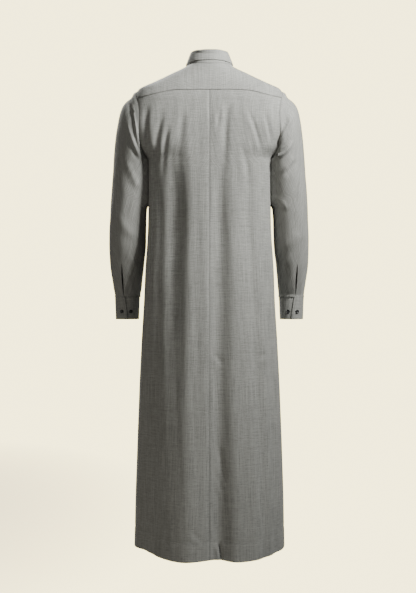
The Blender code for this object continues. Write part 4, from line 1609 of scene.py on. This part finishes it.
@dataclass
class Arm:
    """One sleeve with its placket and its cuff."""

    wardrobe: Wardrobe
    side: int
    creases: tuple[Crease, ...]
    name: str = ""
    rows: int = 216
    columns: int = 164
    cuff_top_z: float = -0.6686
    cuff_bottom_z: float = -0.7380
    cuff_top_half: Pair = (0.0368, 0.0385)
    cuff_bottom_half: Pair = (0.0338, 0.0365)
    cuff_centre: Pair = (0.2450, -0.060)
    cuff_lap: float = 40.0
    cuff_inset: float = 0.0045
    cuff_button_z: float = -0.7145
    cuff_buttons: tuple[tuple[str, float, float], ...] = (
        # name, degrees round the wrist, the turn by which its cloth laps
        ("outer", 66.0, 360.0),
        ("inner", 108.0, 0.0),
    )
    strip_share: float = 31 / 360
    strip_above_slit: float = 0.020
    strip_inset: float = 0.0028
    strip_gap: float = 0.0004
    strip_roll: Pair = (0.0004, 0.0010)
    waves: tuple[Wave, ...] = (Wave(0.0022, 2.0, 11.0, 2.0), Wave(0.0006, 4.0, 40.0, 5.0))
    cuff_wave: Wave = Wave(0.0005, 3.0, 55.0, 3.0)
    cuff_lap_lift: float = 0.0016
    cuff_roll: Pair = (0.0006, 0.0011)
    cuff_groove: float = 0.0003
    cuff_button_gap: float = 0.0006
    gather_depth: float = 0.0008
    gathers: float = 11.0
    cap_rolls: Pair = (0.0045, 0.0050)
    head_rise: float = 0.0070
    head_out: float = 0.0030
    seam_tuck: float = 0.0015
    cuff_tuck: float = 0.0011
    cuff_tuck_down: float = 0.0030
    cuff_tuck_z: float = -0.6640

    def __post_init__(self) -> None:
        """Names the side."""
        self.name = "left" if self.side > 0 else "right"

    def make_sleeve(self) -> Grid:
        """The sleeve, whole above its slit.

        Returns:
            Its grid.
        """
        row = np.interp(np.linspace(0, 1, self.rows), [0, 0.12, 1], [0, 2.0, 9.0])[:, None]
        plain = ARM.point(1, np.array(SLIT_PHI), row[:, 0])
        open_by = ARM.gape(plain[:, 2])[:, None]
        u = np.linspace(0, 1, self.columns)[None, :]
        phi = mix(SLIT_PHI + open_by, SLIT_PHI + 360 - open_by, u)
        points = ARM.point(self.side, phi, np.broadcast_to(row, phi.shape))
        grid = Grid(points, np.where(open_by[:, 0] == 0)[0])
        self.crumple(grid, phi, u)
        from_seam = grid.distance(Edge.BOTTOM)
        self.raise_head(grid, phi, from_seam)
        self.tuck_ends(grid, from_seam)
        piece = self.wardrobe.sew(f"sleeve_{self.name}", grid, SHELL, (Edge.BOTTOM, Edge.TOP), self.side)
        return grid

    def crumple(self, grid: Grid, phi: Array, u: Array) -> None:
        """Presses in the creases, the slow unevenness and the gathers above the cuff.

        Args:
            grid: the sleeve.
            phi: degrees round the arm.
            u: how far across the cloth each column is, from 0 to 1.
        """
        x, y, z = (grid.points[..., k] for k in range(3))
        back = smooth_step((y + 0.005) / 0.03)
        held = smooth_step(grid.distance(Edge.BOTTOM) / 0.014)
        creased = press_all(self.creases, x, z) * back
        creased += press_all(self.front_creases(), x, z) * (1 - back)
        grid.press(self.side * held * creased)
        inner = smooth_step((-cosd(phi) - 0.2) / 0.5) * smooth_step((z + 0.46) / 0.08)
        down = smooth_step((-0.10 - z) / 0.12) * smooth_step((z + 0.672) / 0.03) * (1 - inner)
        down = down * smooth_step(np.minimum(u, 1 - u) / 0.07)
        for wave in self.waves:
            grid.press(self.side * down * wave.at(np.radians(phi), z, self.side))
        gather = smooth_step((z - ARM.end_z) / 0.035) * smooth_step((-0.60 - z) / 0.05)
        grid.press(self.side * self.gather_depth * gather * np.sin(np.radians(phi) * self.gathers + 2.0))

    def raise_head(self, grid: Grid, phi: Array, from_seam: Array) -> None:
        """Rounds the sleeve's head up beside the shoulder seam.

        Args:
            grid: the sleeve.
            phi: degrees round the arm.
            from_seam: how far each point is from the armhole.
        """
        cap = smooth_step((cosd(phi) + 0.2) / 0.8)
        grid.press(self.side * self.cap_rolls[0] * cap * bump_at(from_seam - 0.018, 0.014))
        head = cap**2 * bump_at(from_seam - 0.013, 0.0115)
        grid.points[..., 2] += self.head_rise * head
        grid.points[..., 0] += self.side * self.head_out * head
        grid.press(self.side * self.cap_rolls[1] * cap * bump_at(from_seam - 0.032, 0.030))

    def tuck_ends(self, grid: Grid, from_seam: Array) -> None:
        """Tucks the cloth under the armhole's edge and into the cuff.

        Args:
            grid: the sleeve.
            from_seam: how far each point is from the armhole.
        """
        grid.points[..., 0] -= self.side * self.seam_tuck * smooth_step(1 - from_seam / 0.003)
        to_cuff = smooth_step((self.cuff_tuck_z - grid.points[..., 2]) / 0.0040)
        grid.press(-self.side * self.cuff_tuck * to_cuff)
        grid.points[..., 2] -= self.cuff_tuck_down * to_cuff

    def front_creases(self) -> tuple[Crease, ...]:
        """The creases of the sleeve's front, like those of its back but placed otherwise.

        Returns:
            The creases, for this arm's own side.
        """
        s = float(self.side)
        return (
            Crease(((0.214 * s, -0.120), (0.196 * s, -0.190), (0.190 * s, -0.260)), 0.006, 0.005, 0.5, -s),
            Crease(((0.250 * s, -0.200), (0.226 * s, -0.250), (0.196 * s, -0.300)), 0.007, 0.004, 0.5, -s),
            Crease(((0.198 * s, -0.395), (0.226 * s, -0.425), (0.250 * s, -0.440)), 0.007, 0.004, 0.4, s),
            Crease(((0.270 * s, -0.520), (0.240 * s, -0.545), (0.212 * s, -0.590)), 0.007, 0.004, 0.5, -s),
        )

    def make_placket(self, sleeve: Grid) -> Grid:
        """The strip along the outer edge of the slit, taken from the sleeve's own face.

        Args:
            sleeve: the sleeve's grid.

        Returns:
            The strip's grid.
        """
        z = sleeve.points[:, -1, 2]
        chosen = np.where(z < ARM.slit_top_z + self.strip_above_slit)[0]
        start = self.columns - 1 - int(round(self.strip_share * (self.columns - 1)))
        old, new = np.linspace(0, 1, self.columns - start), np.linspace(0, 1, 23)
        points, up = (
            np.array([interp_rows(new, old, line) for line in table[chosen][:, start:]])
            for table in (sleeve.points, sleeve.normals() * self.side)
        )
        grid = Grid(points + up * (self.strip_gap + SHELL))
        grid.roll((*SIDES, Edge.BOTTOM), *self.strip_roll, self.side)
        piece = self.wardrobe.sew(f"sleeve_placket_{self.name}", grid, SHELL, side=self.side)
        return grid

    def cuff_point(self, phi: Array, up: Array) -> Array:
        """Points of the cuff's outer face; phi runs past a full turn where the ends lap.

        Args:
            phi: degrees round the wrist.
            up: how far up the cuff, from 0 to 1.

        Returns:
            The points.
        """
        lap = LAP_STEP * smooth_step((phi - 325) / 60)
        half_x = mix(self.cuff_bottom_half[0], self.cuff_top_half[0], up) + lap
        half_y = mix(self.cuff_bottom_half[1], self.cuff_top_half[1], up) + lap
        x = self.cuff_centre[0] + half_x * cosd(phi)
        y = self.cuff_centre[1] + half_y * sind(phi)
        z = mix(self.cuff_bottom_z, self.cuff_top_z, up)
        return np.stack([self.side * x, y + 0 * z, z + 0 * x], axis=-1)

    def cuff_normal(self, phi: float) -> Array:
        """The cuff's outward direction at an angle.

        Args:
            phi: degrees round the wrist.

        Returns:
            A unit vector.
        """
        x = math.cos(math.radians(phi)) / self.cuff_top_half[0]
        y = math.sin(math.radians(phi)) / self.cuff_top_half[1]
        normal = np.array([self.side * x, y, 0.0])
        return normal / np.linalg.norm(normal)

    def make_cuff(self) -> Grid:
        """The cuff band, its lap's edge aslant.

        Returns:
            Its grid.
        """
        up = np.linspace(0, 1, 44)[:, None]
        share = np.linspace(0, 1, 190)[None, :]
        start = SLIT_PHI - self.cuff_lap
        end = 360 + mix(94.0, 80.0, up)
        phi = mix(start, end, share)
        grid = Grid(self.cuff_point(phi, np.broadcast_to(up, phi.shape)))
        z = grid.points[..., 2]
        grid.press(self.side * self.cuff_wave.at(np.radians(phi), z, self.side))
        grid.press(self.side * self.cuff_lap_lift * bump_at(grid.distance(Edge.RIGHT), 0.006))
        groove = (self.cuff_groove, self.cuff_inset)
        grid.roll((*SIDES, Edge.TOP, Edge.BOTTOM), *self.cuff_roll, self.side, groove)
        piece = self.wardrobe.sew(f"cuff_{self.name}", grid, DOUBLE_SHELL, (Edge.TOP,), self.side)
        return grid

    def build(self) -> None:
        """Makes the sleeve, placket, cuff, stitching and buttons."""
        seams = Stitches(f"sleeve_stitches_{self.name}")
        sleeve = self.make_sleeve()
        strip = self.make_placket(sleeve)
        for edge in (*SIDES, Edge.BOTTOM):
            seams.along_edge(strip, edge, self.strip_inset, self.side)
        cuff = self.make_cuff()
        for edge in (Edge.TOP, Edge.BOTTOM, Edge.RIGHT, Edge.LEFT):
            seams.along_edge(cuff, edge, self.cuff_inset, self.side)
        seams.build(self.wardrobe)
        up = (self.cuff_button_z - self.cuff_bottom_z) / (self.cuff_top_z - self.cuff_bottom_z)
        for where, phi, lapped in self.cuff_buttons:
            place = self.cuff_point(np.array(phi + lapped), np.array(up))
            normal = self.cuff_normal(phi)
            button = Button(self.wardrobe, f"cuff_button_{self.name}_{where}")
            button.build(place + normal * self.cuff_button_gap, normal)


# ---------------------------------------------------------------------------------------- buttons


@dataclass
class Button:
    """A turned button with a raised rim and four sewn holes."""

    wardrobe: Wardrobe
    name: str
    radius: float = 0.0055
    height: float = 0.0024
    sides: int = 64
    hole_place: float = 0.0011
    hole_radius: float = 0.00052
    hole_depth: float = 0.0010
    thread_z: float = 0.00176
    sharp: float = 50.0
    profile: tuple[Pair, ...] = (
        (0.0, 0.60), (0.30, 0.61), (0.50, 0.66), (0.60, 0.74), (0.70, 0.92), (0.80, 1.00),
        (0.90, 0.96), (0.97, 0.80), (1.00, 0.50), (0.98, 0.22), (0.88, 0.05), (0.78, 0.0),
    )

    def face(self) -> tuple[Array, list[tuple[int, ...]]]:
        """The button's shape, its back on z = 0.

        Returns:
            Its points and its faces.
        """
        reach = np.concatenate([np.linspace(0.02, 0.50, 22), [0.55, 0.60, 0.65, 0.70, 0.75, 0.80]])
        reach = np.concatenate([reach, [0.85, 0.90, 0.94, 0.97, 1.0, 0.98, 0.88, 0.78]])
        rim = [row[1] for row in self.profile[8:]]
        radii, heights = zip(*self.profile[:9])
        height = np.concatenate([np.interp(reach[:-3], radii, heights), rim[1:]])
        angle = np.linspace(0, 2 * math.pi, self.sides, endpoint=False)
        x = self.radius * reach[:, None] * np.cos(angle)[None]
        y = self.radius * reach[:, None] * np.sin(angle)[None]
        z = np.repeat((self.height * height)[:, None], self.sides, axis=1)
        for sx in (-1, 1):
            for sy in (-1, 1):
                gap = np.hypot(x - sx * self.hole_place, y - sy * self.hole_place)
                z -= self.hole_depth * smooth_step((self.hole_radius * 1.3 - gap) / (self.hole_radius * 0.7))
        points = [np.stack([x, y, z], axis=-1).reshape(-1, 3)]
        middle = float(self.height * self.profile[0][1])
        points.append(np.array([[0.0, 0.0, middle], [0.0, 0.0, 0.0]]))
        rings, sides = len(reach), self.sides
        faces: list[tuple[int, ...]] = list(ring_faces(rings, sides))
        top, back, last = rings * sides, rings * sides + 1, (rings - 1) * sides
        for k in range(sides):
            after = (k + 1) % sides
            faces.append((top, k, after))
            faces.append((back, last + after, last + k))
        return np.vstack(points), faces

    def build(self, place: Array, normal: Array) -> None:
        """Seats the button on the cloth and sews it on.

        Args:
            place: a point on the cloth.
            normal: the way the button faces.
        """
        points, faces = self.face()
        frame = np.array(Vector((0.0, 0.0, 1.0)).rotation_difference(Vector(normal)).to_matrix())
        mesh = bpy.data.meshes.new(f"{self.name}_moulded")
        mesh.from_pydata((points @ frame.T + place).tolist(), [], faces)
        mesh.shade_smooth()
        mesh.set_sharp_from_angle(angle=math.radians(self.sharp))
        self.wardrobe.dress(link(f"{self.name}_moulded", mesh), Finish.BUTTON, [self.name])
        style = StitchLine(length=0.0029, pitch=0.0020, radius=0.00030, sides=6)
        thread = Stitches(f"{self.name}_thread", style)
        for across in (-self.hole_place, self.hole_place):
            ends = [(-self.hole_place, across, self.thread_z), (self.hole_place, across, self.thread_z)]
            thread.add(np.array(ends) @ frame.T + place, np.array([normal, normal]))
        thread.build(self.wardrobe)


# ---------------------------------------------------------------------------------------- collar


@dataclass
class Collar:
    """The stand round the neck, the leaf folded over it and the collar button."""

    wardrobe: Wardrobe
    stand_top_z: float = 0.0445
    level_angle: float = 95.0
    front_height: float = 0.034
    lean: float = 0.0150
    lap_start: float = 141.0
    lap_full: float = 166.0
    foot_gap: float = 0.0008
    lap_lift: float = 0.0012
    fall_back: float = 0.0320
    fall_side: float = 0.0370
    fall_point: float = 0.0610
    fall_angle: float = 100.0
    leaf_end: float = 175.0
    spread: float = 23.0
    spread_start: float = 118.0
    leaf_lap: Pair = (133.0, 148.0)
    crest: float = 0.0018
    ease: float = 0.0011
    over_body: float = 0.0036
    lap_turn: float = 194.0
    leaf_wave: Wave = Wave(0.0005, 5.0, 70.0, 6.0)
    edge_roll: Pair = (0.0004, 0.0010)
    leaf_inset: float = 0.0050
    leaf_groove: float = 0.00025
    leaf_shell: float = 0.0013
    stand_inset: float = 0.0025

    def neck_point(self, angle: Array, out: Array) -> Array:
        """Points of the neckline, moved out in plan; past 180 it has lapped the front.

        Args:
            angle: degrees from the centre back.
            out: how far out.

        Returns:
            The points.
        """
        x, y = FORM.neck_plan(np.abs(angle))
        z = FORM.height_over(np.abs(x), y)
        x = np.sign(angle + 1e-9) * x
        length = np.hypot(x, y)
        return np.stack([x * (1 + out / length), y * (1 + out / length), z], axis=-1)

    def height(self, angle: Array, neck_z: Array) -> Array:
        """How high the stand is: level on top round the back, even round the front.

        Args:
            angle: degrees from the centre back.
            neck_z: the neckline's heights there.

        Returns:
            The heights.
        """
        angle = np.minimum(np.abs(angle), 360 - np.abs(angle))
        level = self.stand_top_z - float(FORM.neckline(np.array(self.level_angle))[1])
        along = (angle - self.level_angle) / (180 - self.level_angle)
        front = mix(level, self.front_height, smooth_step(along))
        return np.where(angle < self.level_angle, self.stand_top_z - neck_z, front)

    def stand_point(self, angle: Array, up: Array) -> Array:
        """Points of the stand's outer face, leaning in as it rises.

        Args:
            angle: degrees from the centre back.
            up: how far up the stand, from 0 to 1.

        Returns:
            The points.
        """
        lapped = ease_over(angle, self.lap_start, self.lap_full)
        foot = self.neck_point(angle, 0.0 * angle)
        place = self.neck_point(angle, LAP_STEP * lapped - self.lean * up)
        place[..., 2] += self.foot_gap + self.lap_lift * lapped + self.height(angle, foot[..., 2]) * up
        return place

    def make_stand(self) -> Grid:
        """The band that starts under its own lap at the front and ends over it.

        Returns:
            Its grid.
        """
        up = np.linspace(0, 1, 30)[:, None]
        angle = np.linspace(-self.lap_turn, self.lap_turn, 260)[None, :]
        up, angle = np.broadcast_arrays(up, angle)
        grid = Grid(self.stand_point(angle, up))
        side = facing(grid)
        grid.roll((*SIDES, Edge.TOP, Edge.BOTTOM), *self.edge_roll, side)
        piece = self.wardrobe.sew("collar_stand", grid, DOUBLE_SHELL, (Edge.BOTTOM,), side)
        return grid

    def stand_reach(self, angle: Array, z: Array) -> Array:
        """How far from the neck's middle the stand's outer face is, its lap counted on both sides.

        Args:
            angle: degrees from the centre back.
            z: heights.

        Returns:
            The distances.
        """
        foot = self.neck_point(-angle, 0.0 * angle)
        up = (z - foot[..., 2] - self.foot_gap) / self.height(angle, foot[..., 2])
        lapped = ease_over(angle, *self.leaf_lap)
        reach = np.hypot(foot[..., 0], foot[..., 1])
        return reach - self.lean * np.clip(up, 0.0, 1.0) + LAP_STEP * lapped

    def body_reach(self, angle: Array, z: Array) -> Array:
        """How far from the neck's middle the body's form is.

        Args:
            angle: degrees from the centre back.
            z: heights.

        Returns:
            The distances.
        """
        x, y = FORM.neck_plan(angle)
        half, depth, power = FORM.section(y, z)
        scale = (np.abs(x) / half) ** power + (np.abs(y) / depth) ** power
        return np.hypot(x, y) * scale ** (-1 / power)

    def leaf_place(self, angle: Array, reach: Array, z: Array) -> Array:
        """A point at a reach from the neck's middle.

        Args:
            angle: degrees from the centre back.
            reach: distances.
            z: heights.

        Returns:
            The points.
        """
        x, y = FORM.neck_plan(angle)
        length = np.hypot(x, y)
        return np.stack([x / length * reach, y / length * reach, z], axis=-1)

    def leaf_fall(self, angle: Array) -> Array:
        """How far the leaf falls below its fold, longest at its points.

        Args:
            angle: degrees from the centre back.

        Returns:
            The falls.
        """
        side = mix(self.fall_back, self.fall_side, smooth_step(angle / self.fall_angle))
        along = np.maximum((angle - self.fall_angle) / (self.leaf_end - self.fall_angle), 0.0)
        return mix(side, self.fall_point, along ** 2)

    def make_leaf(self) -> Grid:
        """The leaf, folded over the stand's top, its two points apart at the front.

        Returns:
            Its grid.
        """
        signed = np.linspace(-self.leaf_end, self.leaf_end, 240)
        angle = np.abs(signed)
        spread = self.spread * ease_over(angle, self.spread_start, self.leaf_end)
        lapped = ease_over(angle, *self.leaf_lap)
        top_z = self.stand_point(-angle, np.ones_like(angle))[..., 2] + self.lap_lift * lapped
        crest_z = top_z + self.crest + CLOTH
        reach = self.stand_reach(angle, top_z)
        rows = [
            self.leaf_place(angle, reach - DOUBLE_CLOTH * 0.6, crest_z - 0.0004),
            self.leaf_place(angle, reach + CLOTH * 0.1, crest_z + 0.0002),
        ]
        downs = np.concatenate([[0.07], np.linspace(0.14, 1.0, 15)])
        for down in downs:
            at = angle - spread * down
            z = crest_z - self.leaf_fall(angle) * down - self.crest * (1 - down)
            out = self.stand_reach(at, z) + CLOTH + self.ease
            out = np.maximum(out, self.body_reach(at, z - self.over_body) + self.over_body)
            rows.append(self.leaf_place(at, out, z))
        rows = np.array(rows)
        rows[..., 0] *= np.sign(signed + 1e-9)
        table = Profile(list(range(len(rows))), rows.reshape(len(rows), -1))
        steps = np.linspace(0, len(rows) - 1, 64)
        grid = Grid(table.at(steps).T.reshape(len(steps), len(signed), 3))
        side = facing(grid)
        fall = grid.distance(Edge.BOTTOM)
        grid.press(side * self.leaf_wave.at(np.radians(signed)[None] + 0 * fall, fall))
        grid.roll((*SIDES, Edge.TOP), *self.edge_roll, side, (self.leaf_groove, self.leaf_inset))
        piece = self.wardrobe.sew("collar_leaf", grid, self.leaf_shell, side=side)
        return grid

    def build(self) -> None:
        """Makes the collar, its stitching and its button."""
        stand = self.make_stand()
        leaf = self.make_leaf()
        seams = Stitches("collar_stitches")
        for edge, skip in ((Edge.TOP, 0.0), (Edge.LEFT, 0.12), (Edge.RIGHT, 0.12)):
            seams.along_edge(leaf, edge, self.leaf_inset, facing(leaf), skip)
        seams.along_edge(stand, Edge.BOTTOM, self.stand_inset, facing(stand))
        seams.build(self.wardrobe)
        ends = self.stand_point(np.array([180.0, 180.0]), np.array([0.0, 1.0]))
        rise = Vector(ends[1] - ends[0])
        normal = np.array(Vector((1.0, 0.0, 0.0)).cross(rise).normalized())
        place = self.stand_point(np.array(180.0), np.array(0.5))
        Button(self.wardrobe, "collar_button").build(place + normal * SEAM_GAP, normal)


def facing(grid: Grid) -> int:
    """1 if a ring-like grid's normals point away from the upright axis, -1 if towards it.

    Args:
        grid: the grid.

    Returns:
        1 or -1.
    """
    normals = grid.normals()
    outward = (normals[..., :2] * grid.points[..., :2]).sum(axis=-1)
    return 1 if outward.mean() > 0 else -1


# ------------------------------------------------------------------------------- stage and camera


@dataclass
class Studio:
    """The seamless sweep, the soft lights and the camera."""

    floor_z: float = -1.53
    floor_radius: float = 10.0
    floor_curve: float = 3.0
    floor_sides: int = 64
    wall_height: float = 12.0
    cream: Colour = (1.0, 0.875, 0.44, 1.0)
    cream_shaded: Colour = (0.88, 0.78, 0.50, 1.0)
    glow: float = 5.0
    # painted shadow: a darker soft patch on the glowing sweep, to the robe's left as the camera sees it
    shadow_patch_centre: Pair = (1.45, -1.1)
    shadow_patch_reach: Pair = (1.3, 2.4)
    shadow_patch_colour: Colour = (0.50, 0.425, 0.27, 1.0)
    air: Colour = (1.0, 0.99, 0.955, 1.0)
    air_strength: float = 0.10
    camera_place: tuple[float, float, float] = (0.0044, 3.4, -0.67)
    focal_length: float = 69.97

    def make_sweep(self) -> None:
        """A round floor that curves up into a wall all the way round."""
        flat, curve, sides = self.floor_radius, self.floor_curve, self.floor_sides
        profile = [(k * flat / 10, self.floor_z) for k in range(11)]
        for k in range(1, 13):
            a = k / 12 * math.pi / 2
            profile.append((flat + curve * math.sin(a), self.floor_z + curve * (1 - math.cos(a))))
        profile.append((flat + curve, self.floor_z + self.wall_height))
        turns = [math.tau * k / sides for k in range(sides)]
        points = [(r * math.cos(a), r * math.sin(a), z) for r, z in profile for a in turns]
        mesh = bpy.data.meshes.new("sweep")
        mesh.from_pydata(points, [], [face[::-1] for face in ring_faces(len(profile), sides)])
        mesh.shade_smooth()
        sweep = link("sweep", mesh)
        book = NodeBook("sweep_paper")
        place = book.node("ShaderNodeTexCoord", {}, {}).out("Object")
        cloud = book.noise(book.scaled(place, (0.5, 0.5, 0.5)), 1.0)
        colour = book.blend(self.cream, self.cream_shaded, cloud * 0.2)
        parts = book.node("ShaderNodeSeparateXYZ", {}, {0: place})
        # Painted shadow: a darker soft patch blended into the sweep's glow.
        reach_x = (parts.out("X") - self.shadow_patch_centre[0]) * (1 / self.shadow_patch_reach[0])
        reach_y = (parts.out("Y") - self.shadow_patch_centre[1]) * (1 / self.shadow_patch_reach[1])
        patch = book.ramp(reach_x * reach_x + reach_y * reach_y, 1.0, 0.0)
        colour = book.blend(colour, self.shadow_patch_colour, patch)
        book.set({
            "Base Color": (0.02, 0.02, 0.02, 1.0),
            "Roughness": 0.9,
            "Emission Color": colour,
            "Emission Strength": self.glow,
            "Specular IOR Level": 0.1,
        })
        mesh.materials.append(book.material)
        for ray in ("diffuse", "glossy", "shadow"):
            setattr(sweep, f"visible_{ray}", False)

    def add_light(
        self, name: str, place: Sequence[float], size: float, power: float, aim_z: float = -0.45,
        spread: float = 180.0, colour: tuple[float, float, float] = (1.0, 1.0, 0.955),
    ) -> None:
        """Adds a soft square lamp aimed at the chest.

        Args:
            name: the lamp's name.
            place: where it stands.
            size: its side in metres.
            power: its power in watts.
            aim_z: the height it points at.
            spread: the width of its beam in degrees.
            colour: its colour.
        """
        data = bpy.data.lights.new(name, "AREA")
        data.shape = "SQUARE"
        data.size = size
        data.energy = power
        data.color = colour
        data.spread = math.radians(spread)
        lamp = link(name, data)
        lamp.location = place
        aim = Vector((0.0, 0.0, aim_z)) - Vector(place)
        lamp.rotation_euler = aim.to_track_quat("-Z", "Y").to_euler()

    def make_world(self) -> None:
        """An even pale surrounding light."""
        world = bpy.data.worlds.new("studio_air")
        world.use_nodes = True
        background = world.node_tree.nodes["Background"].inputs
        background["Color"].default_value = self.air
        background["Strength"].default_value = self.air_strength
        bpy.context.scene.world = world

    def make_camera(self) -> None:
        """The camera looks level at the back of the robe."""
        data = bpy.data.cameras.new("camera")
        data.lens = self.focal_length
        data.sensor_width = 36.0
        data.dof.use_dof = False
        camera = link("camera", data)
        camera.location = self.camera_place
        camera.rotation_euler = (math.pi / 2, 0.0, math.pi)
        bpy.context.scene.camera = camera

    def build(self) -> None:
        """Sets up the whole studio."""
        self.make_sweep()
        self.make_world()
        self.add_light("key", (-1.45, 1.10, 1.12), 0.6, 48.0, 0.30, 100.0)
        self.add_light("fill", (2.2, 2.4, -0.9), 2.0, 10.0, -0.95)
        self.add_light("low_bounce", (1.4, 1.6, -1.45), 1.0, 3.4, -1.1, 180.0, (1.0, 0.86, 0.62))
        self.add_light("front_fill", (1.3, -2.4, 1.3), 1.6, 105.0)
        self.make_camera()


LEFT_CREASES = (
    Crease(((0.2290, -0.100), (0.2140, -0.170), (0.1980, -0.258)), 0.0042, 0.0026, 0.9, 1.0, 0.25, 0.2),
    Crease(((0.2420, -0.150), (0.2230, -0.215), (0.1930, -0.280)), 0.0055, 0.0030, 0.9, 1.0, 0.4, 0.2),
    Crease(((0.2440, -0.260), (0.2180, -0.330), (0.1950, -0.360)), 0.0100, 0.0022, 0.5, 1.0),
    Crease(((0.2560, -0.618), (0.2400, -0.638), (0.2220, -0.658)), 0.0050, 0.0030, 0.7, 1.0),
    Crease(((0.2740, -0.420), (0.2440, -0.470), (0.2050, -0.500)), 0.0140, 0.0018, 0.5, 1.0),
)
RIGHT_CREASES = (
    Crease(((-0.2380, -0.140), (-0.2200, -0.190), (-0.1990, -0.228)), 0.0055, 0.0056, 0.6, 1.0, 0.3, 0.1),
    Crease(((-0.2420, -0.212), (-0.2210, -0.248), (-0.1970, -0.266)), 0.0056, 0.0072, 0.6, 1.0, 0.4, 0.1),
    Crease(((-0.2440, -0.266), (-0.2280, -0.290), (-0.2080, -0.318)), 0.0060, 0.0034, 0.6, -1.0),
    Crease(((-0.1910, -0.372), (-0.2120, -0.398), (-0.2360, -0.420)), 0.0080, 0.0024, 0.6, 1.0),
    Crease(((-0.2620, -0.480), (-0.2400, -0.510), (-0.2100, -0.530)), 0.0140, 0.0018, 0.5, -1.0),
)


class Robe:
    """Builds the whole robe in order."""

    first_button_z = -0.105
    button_step = 0.074
    front_buttons = 4

    def __init__(self, wardrobe: Wardrobe) -> None:
        """Keeps the finishes."""
        self.wardrobe = wardrobe

    def make_front_buttons(self, strip: Grid) -> None:
        """Sets the four front buttons on the placket.

        Args:
            strip: the placket's grid.
        """
        middle = strip.points.shape[1] // 2
        heights = strip.points[:, middle, 2]
        normals = strip.normals()[:, middle]
        for number in range(self.front_buttons):
            z = self.first_button_z - self.button_step * number
            row = int(np.argmin(np.abs(heights - z)))
            normal = normals[row] / np.linalg.norm(normals[row])
            place = strip.points[row, middle] + normal * SEAM_GAP
            Button(self.wardrobe, f"front_button_{number + 1}").build(place, normal)

    def build(self) -> None:
        """Builds every piece."""
        grids = BodyCloth(self.wardrobe).build()
        self.make_front_buttons(grids["front_placket"])
        Collar(self.wardrobe).build()
        Arm(self.wardrobe, 1, LEFT_CREASES).build()
        Arm(self.wardrobe, -1, RIGHT_CREASES).build()


def main() -> None:
    """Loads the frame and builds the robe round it."""
    logging.basicConfig(level=logging.INFO, format="%(message)s")
    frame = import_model()
    LOG.info("the frame holds %d nodes", len(frame["nodes"]))
    Robe(Wardrobe()).build()
    Studio().build()


if __name__ == "__main__":
    main()
